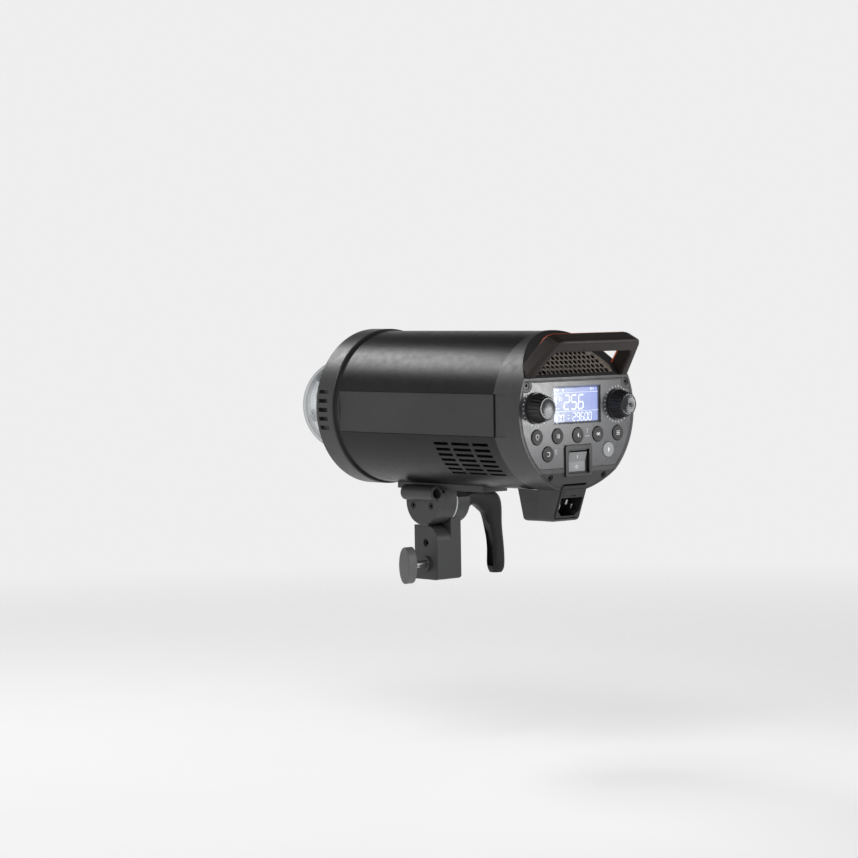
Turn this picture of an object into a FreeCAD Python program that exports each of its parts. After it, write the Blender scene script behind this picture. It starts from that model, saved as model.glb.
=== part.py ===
import FreeCAD, Part
import math
import os

# Studio monolight strobe, millimetres.
# The origin is the centre of the stand socket's mouth, +z runs up the socket,
# the light leaves towards -y and the operator stands on the +y side.
# The head is drawn about its own lamp axis, with y = 0 on the control panel,
# and every head piece is lifted into place by HEAD_PLACE when it is written.

# --- where the head sits over the stand socket -------------------------------------
LAMP_AXIS_Z = 145.6
PANEL_Y = 168.5
TILT_DROP = 79.0          # tilt axis below the lamp axis

# --- head casing ------------------------------------------------------------------
TUBE_R = 65.0
TUBE_WALL = 3.5
TUBE_FRONT_Y = -222.0
SEAM_Y = -31.0            # joint between tube and rear housing
CAVITY_HALF_X = 59.3      # the tube's bore is flattened behind the side strips
STRIP_TOP_Z = 15.6
STRIP_BOTTOM_Z = -19.2
STRIP_FACE_X = 62.5
STRIP_THICK = 1.0
STRIP_GAP = 0.45
STRIP_REAR_Y = -32.5
VENT_ROWS = 7
VENT_COLUMNS = ((-107.0, -90.0), (-86.0, -65.0), (-61.0, -42.5))
VENT_FIRST_DEG = 23.6
VENT_STEP_DEG = 4.7
VENT_HEIGHT = 2.7
VENT_SHIFT = 0.1          # each row starts this much further back

# --- front collar and accessory bayonet -------------------------------------------
COLLAR_R = 66.7
COLLAR_FRONT_Y = -248.6
COLLAR_STEP_Y = -227.0
COLLAR_STEP_R = 63.0
COLLAR_SPIGOT_R = 61.3
COLLAR_BORE_R = 58.0
GRIP_SLOTS = 5
GRIP_SLOT_TOP_Z = 14.1
GRIP_SLOT_PITCH = 7.6
GRIP_SLOT_HEIGHT = 3.5
BAYONET_R = 49.0          # mouth for the accessory ring
BAYONET_LUG_R = 53.2
BAYONET_RING_R = 56.0
BAYONET_LUG_DEG = 24.0
BAYONET_FRONT_Y = -247.8
BAYONET_LIP = 3.2
BAYONET_DEPTH = 8.2
LATCH_DEG = 225.0         # release slide, seen along +y from +x towards +z

# --- light source -----------------------------------------------------------------
DOME_R = 41.8
DOME_WALL = 2.2
DOME_LIP = 1.6
DOME_CENTRE_Y = -280.5
DOME_FOOT_Y = -232.0
LAMP_PLATE_Y = -230.0
LAMP_PLATE_THICK = 2.0
CARRIER_R = 35.6
CARRIER_WALL = 1.5
CARRIER_FRONT_Y = -301.0
LED_LENS_R = 5.6
LED_LENS_TOP = 38.0
LED_LENS_LIFT = 0.4       # the lens rim stands this clear of the carrier
LED_ROWS = (75.5, 92.5)   # latitude of the two staggered lens rows, from the dome's pole
LED_PER_ROW = 6
LED_FIRST_DEG = -13.5
FLASH_RING_R = 20.0
FLASH_TUBE_R = 4.5

# --- rear housing, facet and handle -----------------------------------------------
REAR_R = 65.5
REAR_WALL = 2.6
RIM_R = 63.6              # the control panel drops into this rim
LEDGE_Z = 28.0
LEDGE_WALL = 6.0
CHEEK_REAR_Y = -16.0      # the housing is flat inside as far back as this
STRIP_END_Y = -17.2       # the strip recess runs out here
HANDLE_SCREW_R = 1.5
HANDLE_SCREW_HEAD_R = 2.6
HANDLE_SCREW_HEAD = 2.2
HANDLE_SCREW_X = 51.0
HANDLE_SCREW_UP = 4.5      # up the facet
FACET_RUN = 27.0          # the top facet runs this far forward ...
HANDLE_SLOPE_DEG = 42.0   # the hoop leans back by this much
HANDLE_FOOT = (1.6, 27.5) # y, z of the hoop's lower rear edge at its foot
HANDLE_THICK = 13.4
ACCENT_THICK = 1.3
MESH_PITCH = 5.1
MESH_HOLE = 4.5           # across the flats
MESH_THICK = 1.4
MESH_ROWS = 7
MESH_LOW = 3.4            # lowest edge of the opening, up the facet
MESH_HIGH = 33.8
MESH_HALF_X = 44.5
MESH_ARC_R = 57.5         # the opening's upper edge is concentric with the rim
MESH_ARC_STEPS = 10

# --- control panel ----------------------------------------------------------------
PANEL_R = 63.4
PANEL_THICK = 3.0
PANEL_GAP = 0.2
PANEL_TOP_Z = 25.7
BREAK_Z = -49.0           # below this height the panel leans forward
BREAK_DEG = 21.0
OVERLAY_THICK = 1.2
OVERLAY_R = 62.4
OVERLAY_TOP_Z = 24.7
OVERLAY_BOTTOM_Z = -45.3
LCD = (-27.0, 27.0, -9.8, 20.6)
KNOB_X = 46.0
KNOB_Z = 4.2
KNOB_BASE_R = 12.6
KNOB_TOP_R = 9.6
KNOB_HEIGHT = 12.2
KNOB_FLUTES = 20
SHAFT_R = 3.0
FIT = 0.05                # radial clearance of a shaft in its bore
BUTTON_R = 6.2
BUTTON_HOLE_R = 6.5
BUTTON_PROUD = 0.9
BUTTONS = {
    "button_lamp": (46.0, -19.2),
    "button_sound": (23.0, -19.2),
    "button_slave": (0.0, -19.2),
    "button_wireless": (-23.0, -19.2),
    "button_menu": (-46.0, -19.2),
    "button_mode": (34.2, -33.2),
    "button_test": (-34.8, -32.4),
}
SWITCH_BEZEL = (-15.0, 15.0, -52.5, -27.5)
SWITCH_OPENING = (-13.0, 13.0, -51.3, -29.5)
BEZEL_SINK = 3.0
BEZEL_PROUD = 1.4
BEZEL_WALL = 1.2
ROCKER_HALF_X = 10.0
ROCKER_HALF_Z = 8.0
ROCKER_AXIS = (-4.0, -40.4)   # y, z
ROCKER_LEAN_DEG = 7.0
PANEL_SCREWS = ((56.4, 22.4), (-56.4, 22.4))
FACET_SCREWS = ((30.2, 3.8), (-30.2, 3.8))    # x and distance below the break

# --- mains inlet under the rear housing --------------------------------------------
# Distances are measured down the leaning face from the break.
INLET_HALF_X = 15.0
INLET_TOP = 10.5
INLET_BOTTOM = 41.6
DRAWER_TOP = 14.6
DRAWER_BOTTOM = 20.8
DRAWER_HALF_X = 11.5
DRAWER_GAP = 0.15
CAVITY_TOP = 22.2
CAVITY_BOTTOM = 38.4
CAVITY_HALF_WIDTH = 12.2
CAVITY_DEPTH = 17.0
PIN_SIZE = (2.0, 4.0)
PIN_LENGTH = 11.0
HUMP_BOTTOM_Z = -89.6
HUMP_CREASE_Y = -30.0
HUMP_FRONT_Y = -52.0
HUMP_FRONT_HALF_X = 18.0
HUMP_WALL = 2.0

# --- tilt bracket ------------------------------------------------------------------
TILT_Y = -168.5           # in head coordinates
EAR_R = 20.0
HOLDER_X = (10.1, 18.1)
LAMP_EAR_X = (-3.3, 10.0)
RING_X = (-5.4, -3.7)
STAND_EAR_X = (-18.7, -5.4)
EAR_TOP_R = 13.8
AIM_UP_DEG = 35.0
AIM_DOWN_DEG = 60.0
FOOT_HALF_X = 13.8
FOOT_Y = (-204.0, -97.5)
FOOT_BOTTOM_Z = -69.0
BAR_X = 18.8
BAR_Z = -71.6
BAR_R = 6.6
BAR_HALF_LENGTH = 19.2
UMBRELLA_R = 4.2
BOLT_R = 4.0
FOOT_SCREW_R = 2.0

# --- stand yoke --------------------------------------------------------------------
YOKE_X = (-12.7, 14.5)
YOKE_HALF_Y = 14.3
YOKE_TOP_Z = 46.0
YOKE_CORNER_R = 13.0
YOKE_FOOT_R = 2.4
ARM_X = (-12.7, -1.2)
SOCKET_R = 8.1
SOCKET_DEPTH = 40.0
CLAMP_Z = 13.4
CLAMP_R = 3.0
CLAMP_BOSS_R = 6.4
CLAMP_BOSS = 2.2
KNOB_X_RANGE = (30.2, 39.9)
WING_HALF_Y = 6.8
WING_HALF_Z = 15.5
SET_SCREW_Z = 31.2
SET_SCREW_R = 3.3

REACH = 160.0             # larger than anything in the lamp, for cutting blocks

V = FreeCAD.Vector
X = V(1, 0, 0)
Y = V(0, 1, 0)
Z = V(0, 0, 1)
HEAD_PLACE = V(0, PANEL_Y, LAMP_AXIS_Z)
TILT_Z = LAMP_AXIS_Z - TILT_DROP
FACET_RISE = REAR_R - LEDGE_Z
FACET_DEG = math.degrees(math.atan2(FACET_RUN, FACET_RISE))
INLET_TOP_Z = BREAK_Z - INLET_TOP * math.cos(math.radians(BREAK_DEG))


# --- small building blocks ----------------------------------------------------------
def box(x0, x1, y0, y1, z0, z1):
    return Part.makeBox(x1 - x0, y1 - y0, z1 - z0, V(x0, y0, z0))


def x_rod(r, x0, x1, y=0.0, z=0.0):
    return Part.makeCylinder(r, x1 - x0, V(x0, y, z), X)


def y_rod(r, y0, y1, x=0.0, z=0.0):
    return Part.makeCylinder(r, y1 - y0, V(x, y0, z), Y)


def z_rod(r, z0, z1, x=0.0, y=0.0):
    return Part.makeCylinder(r, z1 - z0, V(x, y, z0), Z)


def y_ring(outer, inner, y0, y1):
    return y_rod(outer, y0, y1).cut(y_rod(inner, y0 - 1, y1 + 1))


def fuse(shapes):
    first, rest = shapes[0], shapes[1:]
    return first.fuse(rest).removeSplitter() if rest else first


def plate(points, thick):
    """A prism standing on the x-z outline, from y = -thick to y = 0."""
    corners = [V(x, 0, z) for x, z in points]
    face = Part.Face(Part.makePolygon(corners + corners[:1]))
    return face.extrude(V(0, -thick, 0))


def side_plate(points, x0, x1):
    """A prism standing on a y-z outline, from x0 to x1."""
    corners = [V(x0, y, z) for y, z in points]
    face = Part.Face(Part.makePolygon(corners + corners[:1]))
    return face.extrude(V(x1 - x0, 0, 0))


def floor_plate(points, z0, z1):
    corners = [V(x, y, z0) for x, y in points]
    face = Part.Face(Part.makePolygon(corners + corners[:1]))
    return face.extrude(V(0, 0, z1 - z0))


def mirrored(points):
    """The right half of an outline, bottom to top, closed by its mirror image."""
    return list(points) + [(-x, z) for x, z in reversed(points)]


def tip(shape, degrees, z, y=0.0):
    """Turn about a line along x through (y, z)."""
    shape = shape.copy()
    shape.rotate(V(0, y, z), X, degrees)
    return shape


def on_lower_face(shape):
    """From the flat panel (z down from 0) to the leaning lower face."""
    shape = shape.copy()
    shape.translate(V(0, 0, BREAK_Z))
    return tip(shape, -BREAK_DEG, BREAK_Z)


def on_top_facet(shape):
    """From the flat panel (z up from 0) to the leaning top facet."""
    shape = shape.copy()
    shape.translate(V(0, 0, LEDGE_Z))
    return tip(shape, FACET_DEG, LEDGE_Z)


def spin_y(shape, degrees):
    shape = shape.copy()
    shape.rotate(V(0, 0, 0), Y, -degrees)
    return shape


def spin_copies(shape, count, first=0.0):
    return [spin_y(shape, first + 360.0 * i / count) for i in range(count)]


def round_edges(shape, radius, wanted):
    """Fillet the edges whose middle point passes the test."""
    edges = []
    for edge in shape.Edges:
        middle = edge.valueAt(0.5 * (edge.FirstParameter + edge.LastParameter))
        if wanted(middle, edge):
            edges.append(edge)
    return shape.makeFillet(radius, edges)


def hexagon(across, length, y0, x=0.0, z=0.0):
    """A hexagonal prism along y, with two corners up and down."""
    r = across / math.sqrt(3.0)
    corners = []
    for i in range(6):
        angle = math.radians(30 + 60 * i)
        corners.append(V(x + r * math.cos(angle), y0, z + r * math.sin(angle)))
    return Part.Face(Part.makePolygon(corners + corners[:1])).extrude(V(0, length, 0))


def socket_screw(head_r, head_h, shank_r, length, key):
    """A socket head screw along y, its head's top at y = 0 and its shank towards -y."""
    screw = y_rod(head_r, -head_h, 0).fuse(y_rod(shank_r, -head_h - length, -head_h))
    return screw.cut(hexagon(key, 2.0, -0.6 * head_h))


def moved(shape, x=0.0, y=0.0, z=0.0):
    shape = shape.copy()
    shape.translate(V(x, y, z))
    return shape


def group(shapes):
    return Part.makeCompound(shapes)


def save(node, shape):
    shape.exportStep("parts/" + node + ".step")


def save_head(node, shape):
    save(node, moved(shape, HEAD_PLACE.x, HEAD_PLACE.y, HEAD_PLACE.z))


# --- head casing ----------------------------------------------------------------------
def strip_recess(side, y0, y1):
    floor_x = STRIP_FACE_X - STRIP_THICK
    recess = box(floor_x, TUBE_R + 5, y0, y1, STRIP_BOTTOM_Z, STRIP_TOP_Z)
    return recess if side > 0 else recess.mirror(V(0, 0, 0), X)


def vent_slots(side):
    slots = []
    for row in range(VENT_ROWS):
        shift = VENT_SHIFT * row
        for y0, y1 in VENT_COLUMNS:
            half = VENT_HEIGHT / 2.0
            slot = box(TUBE_R - 10, TUBE_R + 5, y0 + shift, y1 + shift, -half, half)
            slots.append(spin_y(slot, -(VENT_FIRST_DEG + VENT_STEP_DEG * row)))
    slots = group(slots)
    return slots if side > 0 else slots.mirror(V(0, 0, 0), X)


def main_tube():
    tube = y_rod(TUBE_R, TUBE_FRONT_Y, SEAM_Y)
    bore = y_rod(TUBE_R - TUBE_WALL, TUBE_FRONT_Y - 1, SEAM_Y + 1)
    flats = box(-CAVITY_HALF_X, CAVITY_HALF_X, TUBE_FRONT_Y - 1, SEAM_Y + 1, -TUBE_R, TUBE_R)
    tube = tube.cut(bore.common(flats))
    for side in (1, -1):
        tube = tube.cut(strip_recess(side, TUBE_FRONT_Y - 1, SEAM_Y + 1))
        tube = tube.cut(vent_slots(side))
    return tube.cut(group(foot_screw_rods(FOOT_SCREW_R)))


def side_strip(side):
    strip = box(
        STRIP_FACE_X - STRIP_THICK, STRIP_FACE_X,
        TUBE_FRONT_Y + STRIP_GAP, STRIP_REAR_Y,
        STRIP_BOTTOM_Z + STRIP_GAP, STRIP_TOP_Z - STRIP_GAP,
    )
    return strip if side > 0 else strip.mirror(V(0, 0, 0), X)


# --- front collar ---------------------------------------------------------------------
def grip_slots():
    slots = []
    for i in range(GRIP_SLOTS):
        z = GRIP_SLOT_TOP_Z - GRIP_SLOT_PITCH * i
        half = GRIP_SLOT_HEIGHT / 2.0
        slot = box(COLLAR_BORE_R + 4, COLLAR_R + 5, -245.0, -233.5, z - half, z + half)
        slots += [slot, slot.mirror(V(0, 0, 0), X)]
    return group(slots)


def latch_opening(margin):
    slide = box(COLLAR_BORE_R - 2, COLLAR_R + 3, -243.0 - margin, -229.5, -3.0 - margin, 3.0 + margin)
    return spin_y(slide, LATCH_DEG)


def front_collar():
    collar = y_rod(COLLAR_R, COLLAR_FRONT_Y, COLLAR_STEP_Y)
    collar = collar.makeChamfer(0.8, [e for e in collar.Edges if e.Length > 300])
    collar = collar.fuse(y_rod(COLLAR_STEP_R, COLLAR_STEP_Y, TUBE_FRONT_Y))
    collar = collar.fuse(y_rod(COLLAR_SPIGOT_R, TUBE_FRONT_Y, TUBE_FRONT_Y + 9))
    collar = collar.cut(y_rod(COLLAR_BORE_R, BAYONET_FRONT_Y + BAYONET_DEPTH, SEAM_Y))
    collar = collar.cut(y_rod(BAYONET_RING_R, COLLAR_FRONT_Y - 1, SEAM_Y))
    flat = CAVITY_HALF_X - 0.1
    outside = box(flat, COLLAR_R, TUBE_FRONT_Y, TUBE_FRONT_Y + 10, -COLLAR_R, COLLAR_R)
    collar = collar.cut(group([outside, outside.mirror(V(0, 0, 0), X)]))
    return collar.cut(grip_slots()).cut(latch_opening(0.3))


def bayonet_ring():
    back = BAYONET_FRONT_Y + BAYONET_DEPTH
    lip = y_ring(BAYONET_RING_R, BAYONET_R, BAYONET_FRONT_Y, BAYONET_FRONT_Y + BAYONET_LIP)
    wall = y_ring(BAYONET_RING_R, BAYONET_LUG_R, BAYONET_FRONT_Y + BAYONET_LIP, back)
    ring = lip.fuse(wall)
    half = math.radians(BAYONET_LUG_DEG / 2.0)
    reach = BAYONET_LUG_R + 8
    wedge = plate([(0, 0), (reach, -reach * math.tan(half)), (reach, reach * math.tan(half))], 20)
    wedge = moved(wedge, y=BAYONET_FRONT_Y + BAYONET_LIP + 0.01)
    wedge = wedge.common(y_rod(BAYONET_LUG_R, COLLAR_FRONT_Y - 20, SEAM_Y))
    ring = ring.cut(group(spin_copies(wedge, 3, 90.0)))
    pin_hole = spin_y(y_rod(2.6, COLLAR_FRONT_Y, back, x=51.3), LATCH_DEG)
    return ring.cut(pin_hole).cut(group(bayonet_screw_holes()))


def bayonet_screw_holes():
    hole = y_rod(1.25, COLLAR_FRONT_Y, COLLAR_FRONT_Y + 20, x=54.6)
    return spin_copies(hole, 3, 30.0)


def bayonet_screws():
    screw = socket_screw(1.2, 0.6, 1.2, 7.0, 1.2)
    screw.rotate(V(0, 0, 0), Z, 180)
    return group(spin_copies(moved(screw, x=54.6, y=BAYONET_FRONT_Y + 0.1), 3, 30.0))


def release_slide():
    """The slide on the collar, its arm through the wall and the locking pin, in one piece."""
    thumb = box(COLLAR_R - 3.0, COLLAR_R + 1.2, -242.6, -234.0, -2.8, 2.8)
    ribs = [box(COLLAR_R, COLLAR_R + 1.8, y, y + 0.8, -2.8, 2.8) for y in (-241.4, -239.0, -236.6)]
    arm = box(50.0, COLLAR_R - 2.0, -238.4, -235.4, -2.0, 2.0)
    pin = y_rod(2.2, BAYONET_FRONT_Y + 0.6, -236.0, x=51.3)
    return spin_y(fuse([thumb, arm, pin] + ribs), LATCH_DEG)


# --- light source ---------------------------------------------------------------------
def revolved(edges):
    """Turn a closed outline in the z = 0 plane about the lamp axis."""
    return Part.Face(Part.Wire(edges)).revolve(V(0, 0, 0), Y, 360)


def quarter(r, y_end):
    """Arc of the dome's sphere of radius r, from its widest circle to y_end."""
    end = math.acos(min(1.0, (DOME_CENTRE_Y - y_end) / r))
    middle = (math.pi / 2 + end) / 2
    points = []
    for angle in (math.pi / 2, middle, end):
        points.append(V(r * math.sin(angle), DOME_CENTRE_Y - r * math.cos(angle), 0))
    return Part.Arc(*points).toShape(), points[0], points[-1]


def chain(points):
    return [Part.makeLine(a, b) for a, b in zip(points, points[1:])]


def glass_dome():
    inner = DOME_R - DOME_WALL
    lip = DOME_R + DOME_LIP
    outside, wide, pole = quarter(DOME_R, DOME_CENTRE_Y - DOME_R)
    inside, wide_in, pole_in = quarter(inner, DOME_CENTRE_Y - inner)
    skirt = [wide, V(DOME_R, DOME_FOOT_Y - 3, 0), V(lip, DOME_FOOT_Y - 3, 0), V(lip, DOME_FOOT_Y, 0)]
    skirt += [V(inner, DOME_FOOT_Y, 0), wide_in]
    return revolved([outside] + chain(skirt) + [inside, Part.makeLine(pole_in, pole)])


def dome_clips():
    post = box(DOME_R + DOME_LIP + 0.5, DOME_R + 5.0, -237.5, LAMP_PLATE_Y, -4.0, 4.0)
    hook = box(DOME_R + DOME_LIP + 0.3, DOME_R + 5.0, -237.5, -235.6, -4.0, 4.0)
    return group(spin_copies(post.fuse(hook).removeSplitter(), 3, 60.0))


def lamp_plate():
    plate_disc = y_rod(COLLAR_BORE_R - 0.4, LAMP_PLATE_Y, LAMP_PLATE_Y + LAMP_PLATE_THICK)
    dish = Part.makeCone(COLLAR_BORE_R - 0.4, COLLAR_BORE_R - 5, 3.0, V(0, -233.0, 0), Y)
    dish = y_rod(COLLAR_BORE_R - 0.4, -233.0, LAMP_PLATE_Y).cut(dish)
    bore = y_rod(16.0, LAMP_PLATE_Y - 5, LAMP_PLATE_Y + 5)
    latch_notch = spin_y(box(49.0, 60.0, -234.0, -229.0, -2.6, 2.6), LATCH_DEG)
    return plate_disc.fuse(dish).removeSplitter().cut(group([bore, latch_notch]))


def led_carrier():
    outside, wide, edge = quarter(CARRIER_R, CARRIER_FRONT_Y)
    inside, wide_in, edge_in = quarter(CARRIER_R - CARRIER_WALL, CARRIER_FRONT_Y)
    foot = [wide, V(CARRIER_R, LAMP_PLATE_Y, 0), V(CARRIER_R - CARRIER_WALL, LAMP_PLATE_Y, 0), wide_in]
    cup = revolved([outside] + chain(foot) + [inside, Part.makeLine(edge_in, edge)])
    seats = [lens_rod(LED_LENS_R - 1.0, a, b, 30.0, LED_LENS_TOP) for a, b in lens_places()]
    return cup.cut(group(seats))


def lens_places():
    places = []
    for row, latitude in enumerate(LED_ROWS):
        for i in range(LED_PER_ROW):
            places.append((latitude, LED_FIRST_DEG + 29.0 * row + 60.0 * i))
    return places


def lens_rod(r, latitude, around, low, high):
    """A rod pointing out of the dome's centre at a latitude from its pole."""
    rod = y_rod(r, -high, -low)
    rod.rotate(V(0, 0, 0), Z, latitude)
    return moved(spin_y(rod, around), y=DOME_CENTRE_Y)


def led_lenses():
    lenses = []
    for latitude, around in lens_places():
        rim = lens_rod(LED_LENS_R, latitude, around, CARRIER_R + LED_LENS_LIFT, LED_LENS_TOP - 0.7)
        stem = lens_rod(LED_LENS_R - 1.1, latitude, around, 33.0, LED_LENS_TOP)
        groove = lens_rod(LED_LENS_R - 1.1, latitude, around, LED_LENS_TOP - 1.3, LED_LENS_TOP + 1)
        button = lens_rod(LED_LENS_R - 2.0, latitude, around, LED_LENS_TOP - 1.6, LED_LENS_TOP)
        lenses.append(rim.fuse(stem).cut(groove).fuse(button).removeSplitter())
    return group(lenses)


def flash_tube():
    ring_y = -284.0
    loop = Part.makeTorus(FLASH_RING_R, FLASH_TUBE_R, V(0, ring_y, 0), Y)
    legs = [y_rod(FLASH_TUBE_R - 0.5, ring_y, -239.0, x=x) for x in (-FLASH_RING_R, FLASH_RING_R)]
    return fuse([loop] + legs)


def tube_socket():
    socket = y_rod(29.0, -243.0, LAMP_PLATE_Y).fuse(y_rod(14.0, LAMP_PLATE_Y, -224.0))
    holes = [y_rod(FLASH_TUBE_R - 0.4, -244.0, -239.0, x=x) for x in (-FLASH_RING_R, FLASH_RING_R)]
    vents = spin_copies(box(22.0, 26.0, -244.0, -240.0, -3.0, 3.0), 4, 45.0)
    return socket.cut(group(holes + vents))


def heat_sink():
    base = y_rod(52.0, -228.0, -224.5).cut(y_rod(16.0, -230.0, -220.0))
    fins = []
    for i in range(-6, 7):
        x = 7.4 * i
        reach = math.sqrt(50.0 ** 2 - x ** 2)
        fins.append(box(x - 0.7, x + 0.7, -224.5, -206.0, -reach, reach))
    return fuse([base] + fins).cut(y_rod(16.0, -230.0, -200.0))


# --- flash power pack ------------------------------------------------------------------
def capacitor(x, z):
    can = y_rod(22.0, -201.0, -110.0, x, z)
    can = can.makeFillet(2.0, [e for e in can.Edges if e.Length > 100])
    posts = [y_rod(4.0, -110.0, -107.8, x + dx, z) for dx in (-8.0, 8.0)]
    return fuse([can] + posts)


def flash_capacitors():
    return group([capacitor(x, z) for x in (-26.5, 26.5) for z in (-26.5, 26.5)])


def fan_frame():
    frame = box(-40.0, 40.0, -98.0, -78.0, -40.0, 40.0)
    frame = frame.makeFillet(4.0, [e for e in frame.Edges if abs(e.Length - 20.0) < 0.1])
    frame = frame.cut(y_rod(38.0, -99.0, -77.0))
    hub = y_rod(13.0, -98.0, -95.4)
    spokes = spin_copies(box(11.0, 39.0, -98.0, -95.6, -1.5, 1.5), 4, 45.0)
    return fuse([frame, hub] + spokes).cut(y_rod(1.5 + FIT, -99.0, -90.0))


def fan_rotor():
    hub = y_rod(15.0, -94.6, -79.5)
    pin = y_rod(1.5, -97.6, -94.6)
    blade = box(13.0, 36.5, -86.4, -85.0, -9.0, 9.0)
    blade.rotate(V(0, -86.0, 0), X, 38.0)
    return fuse([hub, pin] + spin_copies(blade, 7))


def charger_board():
    board = box(-44.0, 44.0, -74.0, -24.0, 33.0, 34.6)
    parts = [
        box(-34.0, -6.0, -66.0, -42.0, 10.0, 33.0),
        box(4.0, 14.0, -70.0, -40.0, 14.0, 33.0),
        z_rod(8.0, 12.0, 33.0, 28.0, -60.0),
        z_rod(8.0, 12.0, 33.0, 28.0, -40.0),
    ]
    return fuse([board] + parts)


# --- rear housing -----------------------------------------------------------------------
def below_facet(depth):
    """Everything in front of the top facet, moved inwards by depth."""
    block = box(-REACH, REACH, -REACH, -depth, -REACH, REACH)
    return tip(moved(block, z=LEDGE_Z), FACET_DEG, LEDGE_Z)


def before_lower_face(depth):
    block = box(-REACH, REACH, -REACH, -depth, -REACH, REACH)
    return tip(moved(block, z=BREAK_Z), -BREAK_DEG, BREAK_Z)


def mesh_half_width(up):
    """Half width of the mesh opening at a distance up the facet."""
    height = LEDGE_Z + up * math.cos(math.radians(FACET_DEG))
    return min(MESH_HALF_X, math.sqrt(MESH_ARC_R ** 2 - height ** 2))


def mesh_outline(grow):
    points = [(MESH_HALF_X + grow, MESH_LOW - grow)]
    for step in range(MESH_ARC_STEPS + 1):
        up = MESH_LOW + 1.0 + (MESH_HIGH - MESH_LOW - 1.0) * step / MESH_ARC_STEPS
        points.append((mesh_half_width(up) + grow, up + grow * step / MESH_ARC_STEPS))
    return mirrored(points)


def inlet_cutout(margin):
    return box(
        -INLET_HALF_X - margin, INLET_HALF_X + margin,
        SEAM_Y - 1, 5.0, -100.0, INLET_TOP_Z + margin,
    )


def rear_cavity():
    """The hollow inside the housing: flat beside the strips, closed behind the ledge."""
    round_part = y_rod(RIM_R, SEAM_Y - 1, 1).common(below_facet(REAR_WALL))
    behind_ledge = box(-REACH, REACH, -LEDGE_WALL, REACH, PANEL_TOP_Z + PANEL_GAP, REACH)
    narrow = box(-CAVITY_HALF_X, CAVITY_HALF_X, SEAM_Y - 9, CHEEK_REAR_Y, -REACH, REACH)
    wide = box(-REACH, REACH, CHEEK_REAR_Y, REACH, -REACH, REACH)
    return round_part.common(narrow.fuse(wide)).cut(behind_ledge)


def panel_seat():
    """The shallow recess the control panel drops into, flat and leaning parts."""
    below_ledge = box(-REACH, REACH, -REACH, REACH, -REACH, PANEL_TOP_Z + PANEL_GAP)
    flat = y_rod(RIM_R, -PANEL_THICK, 1).common(below_ledge)
    skin = before_lower_face(-10).cut(before_lower_face(PANEL_THICK))
    below_break = box(-REACH, REACH, -REACH, REACH, -REACH, BREAK_Z)
    return group([flat, skin.common(y_rod(RIM_R, -40, 5)).common(below_break)])


def rear_housing():
    outer = y_rod(REAR_R, SEAM_Y, 0).common(below_facet(0)).common(before_lower_face(0))
    shell = outer.cut(rear_cavity())
    shell = shell.fuse(panel_posts().common(outer)).removeSplitter()
    for seat in panel_seat().Solids:
        shell = shell.cut(seat)
    above_ledge = box(-REACH, REACH, -REACH, REACH, LEDGE_Z, REACH)
    shell = shell.cut(on_top_facet(plate(mesh_outline(0.0), 12)).common(above_ledge))
    for side in (1, -1):
        shell = shell.cut(strip_recess(side, SEAM_Y - 1, STRIP_END_Y))
    holes = screw_bores() + handle_screw_rods(HANDLE_SCREW_R, -10, 5)
    holes += handle_screw_rods(HANDLE_SCREW_HEAD_R + 0.2, -12, -REAR_WALL)
    return shell.cut(inlet_cutout(0.3)).cut(group(holes))


def panel_posts():
    posts = [y_rod(4.2, -24.0, -PANEL_THICK, x, z) for x, z in PANEL_SCREWS]
    for x, down in FACET_SCREWS:
        posts.append(on_lower_face(y_rod(4.2, -16.0, -PANEL_THICK, x, -down)))
    return group(posts).common(y_rod(REAR_R - 1, SEAM_Y, 0))


def screw_bores():
    bores = [y_rod(1.3, -16.0, 2.0, x, z) for x, z in PANEL_SCREWS]
    bores += [on_lower_face(y_rod(1.3, -13.0, 2.0, x, -down)) for x, down in FACET_SCREWS]
    return bores


def panel_screws():
    screw = socket_screw(2.6, 2.0, 1.25, 8.0, 2.4)
    screws = [moved(screw, x=x, y=-0.5, z=z) for x, z in PANEL_SCREWS]
    screws += [on_lower_face(moved(screw, x=x, y=-0.5, z=-down)) for x, down in FACET_SCREWS]
    return group(screws)


def mesh_holes():
    holes = []
    row_step = MESH_PITCH * math.sqrt(3.0) / 2.0
    for row in range(MESH_ROWS):
        up = MESH_LOW + row_step * (row + 0.62)
        limit = mesh_half_width(up + 0.5 * MESH_HOLE) - 0.6 * MESH_HOLE
        offset = 0.0 if row % 2 else 0.5 * MESH_PITCH
        count = int(limit / MESH_PITCH) + 1
        for i in range(-count - 1, count + 1):
            x = offset + MESH_PITCH * i
            if abs(x) <= limit:
                holes.append(hexagon(MESH_HOLE, 10.0, -5.0, x, up))
    return group(holes)


def vent_mesh():
    sheet = plate(mesh_outline(-0.15), MESH_THICK).cut(mesh_holes())
    return on_top_facet(moved(sheet, y=-0.6))


# Half outlines of the hoop, x and height up the hoop: on the rear face, and on the front
# face, where the hoop is lower and its feet stay within the round housing.
HOOP_REAR = ((58.8, -8.0), (57.6, 3.0), (48.8, 34.9), (46.5, 38.2), (40.5, 40.2))
HOOP_FRONT = ((55.2, -8.0), (54.0, 3.0), (48.6, 31.4), (46.4, 34.2), (41.0, 35.9))
HOOP_OPENING = ((51.6, -20.0), (44.6, 21.4), (41.4, 26.6))
HANDLE_EDGE_R = 2.6
ACCENT_LEG_INSET = 4.2
ACCENT_BAR_INSET = 0.8


def flat_wire(points, y):
    corners = [V(x, y, z) for x, z in mirrored(points)]
    return Part.makePolygon(corners + corners[:1])


def handle_opening(depth):
    return moved(plate(mirrored(HOOP_OPENING), depth + 8), y=4)


def handle_hoop():
    """The hoop upright, its rear face on y = 0, narrowing towards its front face."""
    wires = [flat_wire(HOOP_REAR, 0), flat_wire(HOOP_FRONT, -HANDLE_THICK)]
    return Part.makeLoft(wires, True, True).cut(handle_opening(HANDLE_THICK))


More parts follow.
